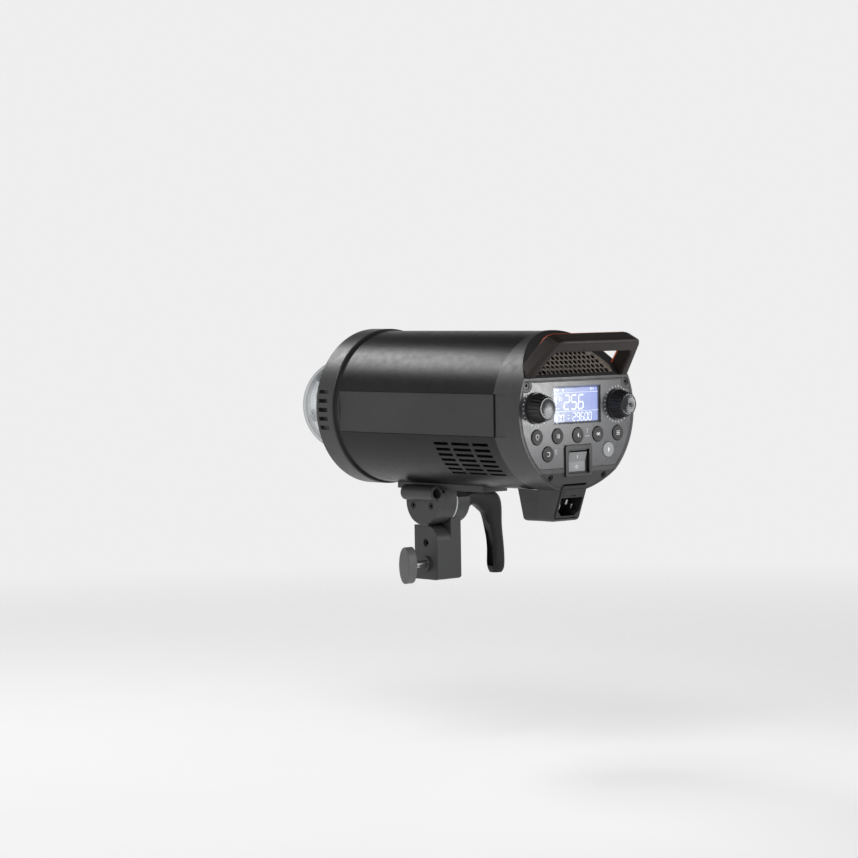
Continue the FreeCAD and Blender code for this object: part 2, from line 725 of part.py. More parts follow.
def lean_handle(shape):
    y, z = HANDLE_FOOT
    return tip(moved(shape, y=y, z=z), -HANDLE_SLOPE_DEG, z, y)


def handle_grip():
    hoop = handle_hoop()

    hoop = round_edges(hoop, HANDLE_EDGE_R, lambda m, e: abs(m.y) < 0.01 and m.z > -4)
    return trim_handle(lean_handle(hoop)).cut(group(handle_screw_rods(HANDLE_SCREW_R, -1, 5.0)))


def trim_handle(shape):
    above = box(-90, 90, -60, 60, LEDGE_Z + 0.02, 120)
    return shape.common(above).cut(below_facet(-0.02))


def handle_accent():
    """Thin coloured layer on the hoop's front face."""
    legs = [(x - ACCENT_LEG_INSET, z) for x, z in HOOP_FRONT[:2]]
    outline = legs + [(x - ACCENT_BAR_INSET, z - ACCENT_BAR_INSET) for x, z in HOOP_FRONT[2:]]
    layer = plate(mirrored(outline), ACCENT_THICK).cut(handle_opening(HANDLE_THICK))
    return trim_handle(lean_handle(moved(layer, y=-HANDLE_THICK)))


def handle_screw_rods(r, y0, y1):
    sides = (-HANDLE_SCREW_X, HANDLE_SCREW_X)
    return [on_top_facet(y_rod(r, y0, y1, x, HANDLE_SCREW_UP)) for x in sides]


def handle_screws():
    shanks = handle_screw_rods(HANDLE_SCREW_R, -REAR_WALL, 5.0)
    heads = handle_screw_rods(HANDLE_SCREW_HEAD_R, -REAR_WALL - HANDLE_SCREW_HEAD, -REAR_WALL)
    return group([shank.fuse(head).removeSplitter() for shank, head in zip(shanks, heads)])


# --- control panel ------------------------------------------------------------------------
def overlay_outline(inset):
    """D-shaped outline with its upper corners cut off beside the screws."""
    r = OVERLAY_R - inset
    low = OVERLAY_BOTTOM_Z + inset
    shape = y_rod(r, -OVERLAY_THICK, 0)
    shape = shape.common(box(-80, 80, -5, 5, low, OVERLAY_TOP_Z - inset))
    for x, z in PANEL_SCREWS:
        shape = shape.cut(y_rod(5.4 + inset, -5, 5, x, z))
        shape = shape.cut(box(min(x, x * 2), max(x, x * 2), -5, 5, z - 5.4 - inset, 80))
    x0, x1, z0, z1 = SWITCH_BEZEL
    return shape.cut(box(x0 - 0.6 - inset, x1 + 0.6 + inset, -5, 5, z0 - 5, z1 + 0.6 + inset))


def button_bores(r, y0, y1):
    return [y_rod(r, y0, y1, x, z) for x, z in BUTTONS.values()]


def knob_bores(r, y0, y1):
    return [y_rod(r, y0, y1, side * KNOB_X, KNOB_Z) for side in (1, -1)]


def panel_overlay():
    sheet = overlay_outline(0.25)
    x0, x1, z0, z1 = LCD
    holes = button_bores(BUTTON_HOLE_R, -5, 5) + knob_bores(4.6, -5, 5)
    return sheet.cut(group(holes + [box(x0, x1, -5, 5, z0, z1)]))


def rear_panel():
    body = y_rod(PANEL_R, -30, 0).common(box(-80, 80, -40, 5, -80, PANEL_TOP_Z))
    body = body.common(before_lower_face(0))
    inside = box(-80, 80, -60, -PANEL_THICK, -80, 80).common(before_lower_face(PANEL_THICK))
    body = body.cut(inside).cut(overlay_outline(0.0))
    x0, x1, z0, z1 = LCD
    s0, s1, t0, t1 = SWITCH_OPENING
    holes = button_bores(BUTTON_HOLE_R, -5, 5) + knob_bores(4.6, -5, 5)
    holes.append(box(x0 + 1.5, x1 - 1.5, -5, 5, z0 + 1.5, z1 - 1.5))
    holes.append(box(s0, s1, -12, 5, t0, t1))
    seats = [y_rod(2.9, -2.5, 2, x, z) for x, z in PANEL_SCREWS]
    seats += [on_lower_face(y_rod(2.9, -2.5, 2, x, -down)) for x, down in FACET_SCREWS]
    return body.cut(group(holes + seats + screw_bores())).cut(inlet_cutout(0.2))


def switch_bezel():
    """Rounded frame standing on the panel, its lower edge trimmed to the leaning face."""
    x0, x1, z0, z1 = SWITCH_BEZEL
    s0, s1, t0, t1 = SWITCH_OPENING
    frame = box(x0, x1, -BEZEL_SINK, BEZEL_PROUD, z0, z1)
    depth = BEZEL_SINK + BEZEL_PROUD
    frame = frame.makeFillet(2.0, [e for e in frame.Edges if abs(e.Length - depth) < 0.01])
    behind = box(-REACH, REACH, -REACH, 0, -REACH, REACH).common(before_lower_face(-0.02))
    hole = box(s0 + BEZEL_WALL, s1 - BEZEL_WALL, -20, 5, t0 + BEZEL_WALL, t1 - BEZEL_WALL)
    return frame.cut(behind).cut(hole)


def power_switch():
    s0, s1, t0, t1 = SWITCH_OPENING
    body = box(s0 + 1.3, s1 - 1.3, -22.0, -0.6, t0 + 1.3, t1 - 1.3)
    y, z = ROCKER_AXIS
    well = box(-ROCKER_HALF_X - 0.4, ROCKER_HALF_X + 0.4, -11.0, 5, z - 8.6, z + 8.6)
    pivots = x_rod(1.0 + FIT, -ROCKER_HALF_X - 1.2, ROCKER_HALF_X + 1.2, y, z)
    blades = [box(x - 0.4, x + 0.4, -30.0, -22.0, z - 3, z + 3) for x in (-6.0, 6.0)]
    return fuse([body] + blades).cut(well).cut(pivots)


def rocker():
    half = ROCKER_HALF_Z
    upper = [(3.4, half), (1.6, half - 0.4), (-5.0, 4.6)]
    lower = [(y, -z) for y, z in reversed(upper)]
    outline = lower + [(2.4, 0.0)] + upper
    key = side_plate(outline, -ROCKER_HALF_X, ROCKER_HALF_X)
    key = key.fuse(x_rod(1.0, -ROCKER_HALF_X - 1.0, ROCKER_HALF_X + 1.0)).removeSplitter()
    y, z = ROCKER_AXIS
    return moved(tip(key, -ROCKER_LEAN_DEG, 0), y=y, z=z)


def lcd_window():
    x0, x1, z0, z1 = LCD
    return box(x0 + 0.1, x1 - 0.1, -OVERLAY_THICK, -0.1, z0 + 0.1, z1 - 0.1)


def lcd_module():
    x0, x1, z0, z1 = LCD
    glass = box(x0 + 2.0, x1 - 2.0, -3.0, -1.6, z0 + 2.0, z1 - 2.0)
    return glass.fuse(box(x0 - 1.5, x1 + 1.5, -6.6, -3.0, z0 - 1.5, z1 + 1.5)).removeSplitter()


def push_button(x, z):
    cap = y_rod(BUTTON_R, -3.4, BUTTON_PROUD)
    cap = cap.makeFillet(0.5, [e for e in cap.Edges if e.BoundBox.YMin > 0])
    flange = y_rod(BUTTON_R + 0.9, -4.4, -3.4)
    stem = y_rod(1.6, -4.8, -4.4)
    return moved(fuse([cap, flange, stem]), x=x, z=z)


def control_board():
    board = y_rod(56.0, -9.0, -7.4).common(box(-52, 52, -20, 0, -44, 23.5))
    board = board.cut(box(-14.5, 14.5, -20, 0, -60, -26.5))
    board = board.cut(group([y_rod(6.9, -10, -7, side * KNOB_X, KNOB_Z) for side in (1, -1)]))
    return fuse([board] + [y_rod(2.4, -8.0, -6.0, x, z) for x, z in BUTTONS.values()])


def encoder(side):
    body = y_rod(6.8, -14.0, -5.0, side * KNOB_X, KNOB_Z)
    neck = y_rod(4.4, -5.0, -0.4, side * KNOB_X, KNOB_Z)
    return fuse([body, neck]).cut(y_rod(SHAFT_R + FIT, -12.0, 1.0, side * KNOB_X, KNOB_Z))


def control_knob(side):
    """Fluted tapered knob with its spindle."""
    skirt = y_rod(KNOB_BASE_R, 0.5, 2.6)
    grip = Part.makeCone(KNOB_BASE_R - 0.5, KNOB_TOP_R, KNOB_HEIGHT - 2.6, V(0, 2.6, 0), Y)
    knob = skirt.fuse(grip).removeSplitter()
    flute = Part.makeCylinder(0.95, 20, V(KNOB_BASE_R - 0.2, 2.9, 0), V(-0.24, 1, 0))
    knob = knob.cut(group(spin_copies(flute, KNOB_FLUTES)))
    knob = knob.cut(y_rod(8.6, KNOB_HEIGHT - 1.0, 30))
    knob = knob.fuse(y_rod(SHAFT_R, -11.8, 3.0)).removeSplitter()
    return moved(knob, x=side * KNOB_X, z=KNOB_Z)


def knob_cap(side):
    """Spun metal cap with a polished chamfer around its dished face."""
    disc = y_rod(9.3, KNOB_HEIGHT + 0.01, KNOB_HEIGHT + 1.2)
    disc = disc.fuse(y_rod(8.55, KNOB_HEIGHT - 1.0, KNOB_HEIGHT + 0.5)).removeSplitter()
    rim = [e for e in disc.Edges if e.BoundBox.YMin > KNOB_HEIGHT + 1.1]
    disc = disc.makeChamfer(0.8, rim)
    dish = Part.makeSphere(70.0, V(0, KNOB_HEIGHT + 70.75, 0))
    disc = disc.cut(dish.common(y_rod(7.6, 0, 40)))
    return moved(disc, x=side * KNOB_X, z=KNOB_Z)


# --- mains inlet ------------------------------------------------------------------------------
def hump_solid(inset):
    """The outside of the inlet's hump, or its inside when inset."""
    rear = INLET_HALF_X - inset
    front = HUMP_FRONT_HALF_X - inset
    front_y = HUMP_FRONT_Y + inset
    left = [(rear, 5), (rear, HUMP_CREASE_Y), (front, front_y)]
    right = [(-x, y) for x, y in reversed(left)]
    solid = floor_plate(left + right, HUMP_BOTTOM_Z + inset, -55.0)
    nose = [(front_y - 1, -120.0), (front_y + 7.5, -95.0), (front_y, -62.0), (front_y - 1, -62.0)]
    return solid.cut(side_plate(nose, -40, 40))


def inlet_housing():
    shell = hump_solid(0.0).common(before_lower_face(0))
    shell = round_edges(shell, 3.0, lambda m, e: m.z < HUMP_BOTTOM_Z + 0.01 and m.y < -12)
    shell = shell.cut(hump_solid(HUMP_WALL).common(before_lower_face(-20)))
    shell = shell.cut(y_rod(REAR_R + 0.3, -80, SEAM_Y))
    return shell.cut(box(-40, 40, SEAM_Y - 0.1, 5, INLET_TOP_Z, 0))


def c14_outline(grow, depth, front):
    """The inlet's mouth: a rectangle with its two lower corners cut at 45 degrees."""
    half = CAVITY_HALF_WIDTH + grow
    top = -CAVITY_TOP + grow
    low = -CAVITY_BOTTOM - grow
    cut = 4.6
    left = [(half - cut, low), (half, low + cut), (half, top)]
    right = [(-x, z) for x, z in reversed(left)]
    return moved(plate(left + right, depth), y=front)


def inlet_socket():
    """Moulded inlet with its fuse drawer slot, seen square to the leaning face."""
    half = INLET_HALF_X - HUMP_WALL - 0.1
    body = box(-half, half, -20.5, 0.6, -INLET_BOTTOM + 3.4, -INLET_TOP - 2.0)
    lip = box(-INLET_HALF_X + 1.2, INLET_HALF_X - 1.2, 0.02, 1.0, -INLET_BOTTOM + 1.6, -INLET_TOP - 1.2)
    lip = lip.makeFillet(1.6, [e for e in lip.Edges if abs(e.Length - 0.98) < 0.01])
    body = body.fuse(lip).removeSplitter()
    body = body.cut(c14_outline(0.0, CAVITY_DEPTH, 2.0))
    wide = DRAWER_HALF_X + DRAWER_GAP
    slot = box(-wide, wide, -19.0, 5.0, -DRAWER_BOTTOM - DRAWER_GAP, -DRAWER_TOP + DRAWER_GAP)
    return on_lower_face(body.cut(slot)).cut(box(-40, 40, -60, 5, INLET_TOP_Z, 20))


def inlet_pins():
    width, height = PIN_SIZE
    middle = -(CAVITY_TOP + CAVITY_BOTTOM) / 2.0
    floor = -CAVITY_DEPTH + 2.01
    blade = box(-width / 2, width / 2, floor, floor + PIN_LENGTH, -height / 2, height / 2)
    places = ((-7.0, middle - 2.0), (7.0, middle - 2.0), (0.0, middle + 2.0))
    return group([on_lower_face(moved(blade, x=x, z=z)) for x, z in places])


def fuse_drawer():
    tray = box(-DRAWER_HALF_X, DRAWER_HALF_X, -18.6, 1.2, -DRAWER_BOTTOM, -DRAWER_TOP)
    wide = DRAWER_HALF_X - 1.4
    wells = [box(x0, x1, -17.6, -2.0, -DRAWER_BOTTOM + 0.8, 0) for x0, x1 in ((-wide, -0.7), (0.7, wide))]
    pry_notch = box(-3.0, 3.0, 0.5, 3.0, -DRAWER_BOTTOM - 1, -DRAWER_BOTTOM + 1.0)
    return on_lower_face(tray.cut(group(wells + [pry_notch])))


def fuses():
    z = -(DRAWER_TOP + DRAWER_BOTTOM) / 2.0
    return group([on_lower_face(y_rod(2.3, -17.2, -2.4, x, z)) for x in (-5.4, 5.4)])


# --- tilt bracket, head side --------------------------------------------------------------------
def tilt_rod(r, x0, x1):
    return x_rod(r, x0, x1, TILT_Y, -TILT_DROP)


def bracket_foot():
    x0, x1 = LAMP_EAR_X
    y0, y1 = FOOT_Y
    foot = box(-FOOT_HALF_X, FOOT_HALF_X, y0, y1, FOOT_BOTTOM_Z, -60.0)
    notch = box(-40, x0, TILT_Y - EAR_R - 1.5, TILT_Y + EAR_R + 1.5, FOOT_BOTTOM_Z - 5, -50)
    foot = foot.cut(notch)
    ear = tilt_rod(EAR_R, x0, x1)
    web = box(x0, x1, TILT_Y - EAR_R, TILT_Y + EAR_R, -TILT_DROP, -60.0)
    foot = fuse([foot, ear, web]).cut(y_rod(TUBE_R + 0.02, y0 - 5, y1 + 5))
    foot = foot.cut(tilt_bar(BAR_R + 0.3))
    head = hexagon_x(13.1, x1 - 5.6, x1 + 1)
    foot = foot.cut(tilt_rod(BOLT_R + 0.02, x0 - 1, x1 + 1)).cut(head)
    foot = foot.cut(group(holder_screw_rods(2.1, x1 - 8, x1 + 1)))
    return foot.cut(group(foot_screw_rods(FOOT_SCREW_R)))


def hexagon_x(across, x0, x1):
    prism = hexagon(across, x1 - x0, 0)
    prism.rotate(V(0, 0, 0), Z, -90)
    return moved(prism, x=x0, y=TILT_Y, z=-TILT_DROP)


def tilt_bar(r):
    return y_rod(r, TILT_Y - BAR_HALF_LENGTH, TILT_Y + BAR_HALF_LENGTH, BAR_X, BAR_Z)


def holder_screw_rods(r, x0, x1):
    return [x_rod(r, x0, x1, TILT_Y + side * 11.2, -82.6) for side in (-1, 1)]


def foot_screw_rods(r):
    rods = []
    for y in (FOOT_Y[0] + 6, FOOT_Y[1] - 8, FOOT_Y[1] - 26):
        rods += [z_rod(r, -68.0, -58.0, x, y) for x in (-8.5, 8.5)]
    return rods


def umbrella_holder():
    x0, x1 = HOLDER_X
    cheek = tilt_rod(EAR_R, x0, x1).common(box(x0, x1, -250, -100, -110, BAR_Z))
    upper = box(x0, x1, TILT_Y - EAR_R, TILT_Y + EAR_R, -TILT_DROP, BAR_Z)
    bar = tilt_bar(BAR_R)
    holder = fuse([cheek, upper, bar]).cut(y_rod(UMBRELLA_R, TILT_Y - 40, TILT_Y + 40, BAR_X, BAR_Z))
    seats = holder_screw_rods(3.1, x1 - 2.6, x1 + 20)
    return holder.cut(group(holder_screw_rods(2.1, x0 - 1, x1) + seats))


def holder_screws():
    screw = socket_screw(3.0, 2.4, 2.0, 11.0, 2.5)
    screw.rotate(V(0, 0, 0), Z, -90)
    return group([moved(screw, x=HOLDER_X[1] - 0.2, y=TILT_Y + side * 11.2, z=-82.6) for side in (-1, 1)])


def foot_screws():
    return group(foot_screw_rods(FOOT_SCREW_R))


def tilt_bolt():
    x1 = LAMP_EAR_X[1]
    return hexagon_x(13.0, x1 - 5.5, x1).fuse(tilt_rod(BOLT_R, -29.5, x1 - 5.5)).removeSplitter()


# --- stand side ---------------------------------------------------------------------------------
def ear_outline():
    """Round below, cut back above so the tube passes over it through the tilt range."""
    def on(r, degrees):
        angle = math.radians(degrees)
        return V(STAND_EAR_X[0], r * math.sin(angle), TILT_Z + r * math.cos(angle))
    spread = math.degrees(math.acos(EAR_TOP_R / EAR_R))
    rear, rear_low = on(EAR_TOP_R, AIM_UP_DEG), on(EAR_R, AIM_UP_DEG + spread)
    front, front_low = on(EAR_TOP_R, -AIM_DOWN_DEG), on(EAR_R, -AIM_DOWN_DEG - spread)
    edges = [
        Part.Arc(rear_low, on(EAR_R, 180), front_low).toShape(),
        Part.makeLine(front_low, front),
        Part.Arc(front, on(EAR_TOP_R, -10), rear).toShape(),
        Part.makeLine(rear, rear_low),
    ]
    return Part.Face(Part.Wire(edges))


def stand_yoke():
    x0, x1 = YOKE_X
    half = YOKE_HALF_Y
    block = box(x0, x1, -half, half, 0, YOKE_TOP_Z)
    block = round_edges(block, YOKE_CORNER_R, lambda m, e: m.y > half - 0.1 and m.z > YOKE_TOP_Z - 0.1)
    block = round_edges(block, YOKE_FOOT_R, lambda m, e: m.z < 0.1 and (m.y > half - 0.1 or m.x < x0 + 0.1))
    arm = box(ARM_X[0], ARM_X[1], -half, half, YOKE_TOP_Z - 16, TILT_Z - 3)
    arm = arm.cut(x_rod(EAR_R + 0.7, STAND_EAR_X[1], 40, 0, TILT_Z))
    ear = ear_outline().extrude(V(STAND_EAR_X[1] - STAND_EAR_X[0], 0, 0))
    boss = x_rod(CLAMP_BOSS_R, x1 - 1, x1 + CLAMP_BOSS, 0, CLAMP_Z)
    yoke = fuse([block, arm, ear, boss])
    yoke = yoke.cut(x_rod(BOLT_R + FIT, -40, 0, 0, TILT_Z))
    yoke = yoke.cut(z_rod(SOCKET_R, -1, SOCKET_DEPTH))
    yoke = yoke.cut(x_rod(CLAMP_R + FIT, 4, 30, 0, CLAMP_Z)).cut(x_rod(3.5, 4, 12.4, 0, CLAMP_Z))
    return yoke.cut(x_rod(SET_SCREW_R, 4, 30, 0, SET_SCREW_Z))


def friction_ring():
    ring = x_rod(EAR_R - 0.3, RING_X[0], RING_X[1], 0, TILT_Z)
    keep = ear_outline().extrude(V(40, 0, 0)).fuse(box(-10, 0, -30, 30, 0, TILT_Z - 8))
    return ring.common(keep).cut(x_rod(BOLT_R + 0.3, -10, 0, 0, TILT_Z))


def tilt_washer():
    x1 = STAND_EAR_X[0]
    return x_rod(8.0, x1 - 1.5, x1, 0, TILT_Z).cut(x_rod(BOLT_R + 0.2, x1 - 3, x1 + 3, 0, TILT_Z))


def set_screw():
    screw = x_rod(SET_SCREW_R - 0.02, SOCKET_R + 0.3, YOKE_X[1] - 1.2, 0, SET_SCREW_Z)
    key = hexagon(3.2, 3.0, 0)
    key.rotate(V(0, 0, 0), Z, -90)
    return screw.cut(moved(key, x=YOKE_X[1] - 4.0, z=SET_SCREW_Z))


def clamp_screw():
    return x_rod(CLAMP_R, 10.6, KNOB_X_RANGE[0] + 5, 0, CLAMP_Z)


def clamp_knob():
    """Flat oval wing on the clamp screw."""
    x0, x1 = KNOB_X_RANGE
    oval = Part.Ellipse(V(x0, 0, CLAMP_Z + WING_HALF_Z), V(x0, WING_HALF_Y, CLAMP_Z), V(x0, 0, CLAMP_Z))
    wing = Part.Face(Part.Wire(oval.toShape())).extrude(V(x1 - x0, 0, 0))
    wing = wing.makeFillet(1.0, [e for e in wing.Edges if e.Length > 50])
    return wing.cut(x_rod(CLAMP_R, x0 - 1, x0 + 5, 0, CLAMP_Z))


def clamp_pad():
    return x_rod(3.44, SOCKET_R + 0.2, 10.5, 0, CLAMP_Z)


def oval_section(centre, across, half, half_y):
    """A closed rounded section: half along the unit direction across, half_y along y."""
    points = []
    steps = 16
    power = 0.72
    for i in range(steps):
        angle = 2 * math.pi * i / steps
        c, s = math.cos(angle), math.sin(angle)
        a = half * math.copysign(abs(c) ** power, c)
        b = half_y * math.copysign(abs(s) ** power, s)
        points.append(V(centre[0] + a * across[0], b, centre[1] + a * across[1]))
    curve = Part.BSplineCurve()
    curve.interpolate(Points=points, PeriodicFlag=True)
    return Part.Wire(curve.toShape())


LEVER_HUB_R = 7.8
LEVER_HUB_X = (-28.0, -20.5)
LEVER_SECTIONS = (
    # x, z of the centre from the tilt axis, direction across in degrees, half width, half thickness
    (-25.0, 0.0, 90, 7.1, 7.1),
    (-34.0, 0.0, 90, 7.0, 7.0),
    (-43.0, -0.3, 88, 7.2, 7.0),
    (-50.5, -2.6, 76, 9.2, 7.0),
    (-58.8, -5.6, 48, 11.2, 7.0),
    (-63.4, -22.0, 16, 8.2, 6.8),
    (-65.8, -38.0, 8, 6.8, 6.6),
    (-66.6, -52.0, 2, 7.1, 6.8),
    (-66.6, -61.0, 0, 6.9, 6.6),
    (-66.4, -66.4, 0, 4.6, 4.8),
)
LEVER_GROOVE = (
    # x, z of the groove's outline from the tilt axis; its open side faces the bracket
    (-54.5, -21.0), (-60.0, -32.0), (-63.2, -44.0), (-64.0, -60.5), (-50.0, -60.5), (-46.0, -21.0),
)
LEVER_GROOVE_HALF_Y = 3.9
LEVER_BORE_R = 5.0
LEVER_BORE_END_X = -31.0


def clamp_lever():
    sections = []
    for x, z, degrees, half, half_y in LEVER_SECTIONS:
        angle = math.radians(degrees)
        sections.append(oval_section((x, TILT_Z + z), (-math.cos(angle), math.sin(angle)), half, half_y))
    arm = Part.makeLoft(sections, True, False)
    hub = x_rod(LEVER_HUB_R, LEVER_HUB_X[0], LEVER_HUB_X[1], 0, TILT_Z)
    lever = hub.fuse(arm).removeSplitter()
    outline = [(x, TILT_Z + z) for x, z in LEVER_GROOVE]
    groove = moved(plate(outline, 2 * LEVER_GROOVE_HALF_Y), y=LEVER_GROOVE_HALF_Y)
    return lever.cut(groove).cut(x_rod(LEVER_BORE_R, LEVER_BORE_END_X, -20, 0, TILT_Z))


def lever_nut():
    return x_rod(4.98, -30.6, -20.7, 0, TILT_Z).cut(x_rod(BOLT_R + FIT, -40, -10, 0, TILT_Z))


def main():
    os.makedirs("parts", exist_ok=True)
    save_head("main_tube", main_tube())
    save_head("side_strips", group([side_strip(1), side_strip(-1)]))
    save_head("front_collar", front_collar())
    save_head("bayonet_ring", bayonet_ring())
    save_head("casing_screws", group([bayonet_screws(), panel_screws(), handle_screws()]))
    save_head("release_slide", release_slide())
    save_head("glass_dome", glass_dome())
    save_head("dome_clips", dome_clips())
    save_head("lamp_plate", lamp_plate())
    save_head("led_carrier", led_carrier())
    save_head("led_lenses", led_lenses())
    save_head("flash_tube", flash_tube())
    save_head("tube_socket", tube_socket())
    save_head("heat_sink", heat_sink())
    save_head("flash_capacitors", flash_capacitors())
    save_head("fan_frame", fan_frame())
    save_head("fan_rotor", fan_rotor())
    save_head("charger_board", charger_board())
    save_head("rear_housing", rear_housing())
    save_head("vent_mesh", vent_mesh())
    save_head("handle_grip", handle_grip())
    save_head("handle_accent", handle_accent())
    save_head("rear_panel", rear_panel())
    save_head("panel_overlay", panel_overlay())
    save_head("switch_bezel", switch_bezel())
    save_head("power_switch", power_switch())
    save_head("rocker", rocker())
    save_head("lcd_window", lcd_window())
    save_head("lcd_module", lcd_module())
    save_head("control_board", control_board())
    save_head("encoders", group([encoder(1), encoder(-1)]))
    for name, (x, z) in BUTTONS.items():
        save_head(name, push_button(x, z))
    for name, side in (("left", 1), ("right", -1)):
        save_head("knob_" + name, control_knob(side))
        save_head("knob_cap_" + name, knob_cap(side))
    save_head("inlet_housing", inlet_housing())
    save_head("inlet_socket", inlet_socket())
    save_head("inlet_pins", inlet_pins())
    save_head("fuse_drawer", fuse_drawer())
    save_head("fuses", fuses())
    save_head("bracket_foot", bracket_foot())
    save_head("umbrella_holder", umbrella_holder())
    save_head("bracket_screws", group([holder_screws(), foot_screws()]))
    save_head("tilt_bolt", tilt_bolt())
    save("stand_yoke", stand_yoke())
    save("friction_ring", friction_ring())
    save("tilt_washer", tilt_washer())
    save("set_screw", set_screw())
    save("clamp_screw", clamp_screw())
    save("clamp_knob", clamp_knob())
    save("clamp_pad", clamp_pad())
    save("clamp_lever", clamp_lever())
    save("lever_nut", lever_nut())


main()
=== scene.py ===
import math
import bpy
import bmesh
from mathutils import Matrix, Vector


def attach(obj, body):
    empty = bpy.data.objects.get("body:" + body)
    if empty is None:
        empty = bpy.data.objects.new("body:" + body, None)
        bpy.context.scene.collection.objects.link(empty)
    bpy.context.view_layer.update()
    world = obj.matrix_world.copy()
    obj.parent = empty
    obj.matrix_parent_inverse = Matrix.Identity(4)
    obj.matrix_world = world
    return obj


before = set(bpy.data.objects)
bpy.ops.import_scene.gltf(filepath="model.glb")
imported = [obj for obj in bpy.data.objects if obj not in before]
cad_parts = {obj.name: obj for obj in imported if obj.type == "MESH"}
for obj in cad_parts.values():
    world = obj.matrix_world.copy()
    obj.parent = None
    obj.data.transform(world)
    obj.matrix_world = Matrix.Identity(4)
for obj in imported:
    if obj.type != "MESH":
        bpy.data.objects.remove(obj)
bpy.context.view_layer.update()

# Studio monolight strobe.  Places and sizes on the lamp are millimetres from the
# centre of the control panel: x towards the operator's left, y out of the panel,
# z up.  lamp() turns them into the frame's metres.  The camera, the floor and the
# lights are in metres from the start.
MM = 0.001
MM_PER_METRE = 1000.0
LAMP_ORIGIN = Vector((0.0, 0.1685, 0.1456))
DIAL_X, DIAL_Z = 46.0, 4.2                      # the left dial; the right one mirrors it


def lamp(x, y, z):
    """A point of the lamp in the frame's metres."""
    return LAMP_ORIGIN + Vector((x, y, z)) * MM


# --- camera -------------------------------------------------------------------------
AZIMUTH = math.radians(137.82)
ELEVATION = math.radians(2.71)
ROLL = math.radians(-0.888)
CAMERA_AT = Vector((1.66452, 1.82705, 0.24420))
FOCAL = 122.18
SENSOR = 36.0
NEAREST, FARTHEST = 0.05, 50.0


def make_camera():
    """A long lens at the photograph's viewing angle."""
    level = math.cos(ELEVATION)
    back = Vector((math.sin(AZIMUTH) * level, -math.cos(AZIMUTH) * level, math.sin(ELEVATION)))
    right = Vector((math.cos(AZIMUTH), math.sin(AZIMUTH), 0.0))
    up = back.cross(right)
    right = right * math.cos(ROLL) + up * math.sin(ROLL)
    up = back.cross(right)
    data = bpy.data.cameras.new("camera")
    data.lens = FOCAL
    data.sensor_width = SENSOR
    data.clip_start = NEAREST
    data.clip_end = FARTHEST
    camera = bpy.data.objects.new("camera", data)
    turn = Matrix((right, up, back)).transposed()
    camera.matrix_world = Matrix.Translation(CAMERA_AT) @ turn.to_4x4()
    bpy.context.scene.collection.objects.link(camera)
    bpy.context.scene.camera = camera


make_camera()


# --- shader building -----------------------------------------------------------------
NOISE_LOW, NOISE_HIGH = 0.3, 0.7        # nearly all of a noise pattern lies between these
BEVEL_SAMPLES = 4

# noise scales in waves per metre: a higher number is a finer pattern
BLOTCHES = 18.0
UNEVEN_GLOSS = 160.0
METAL_SMUDGES = 140.0
GLASS_SMEARS = 90.0
BACKLIGHT_MOTTLE = 60.0
INK_SPECKS = 2600.0
SPUN_RINGS = 5200.0
PAPER = 7.0


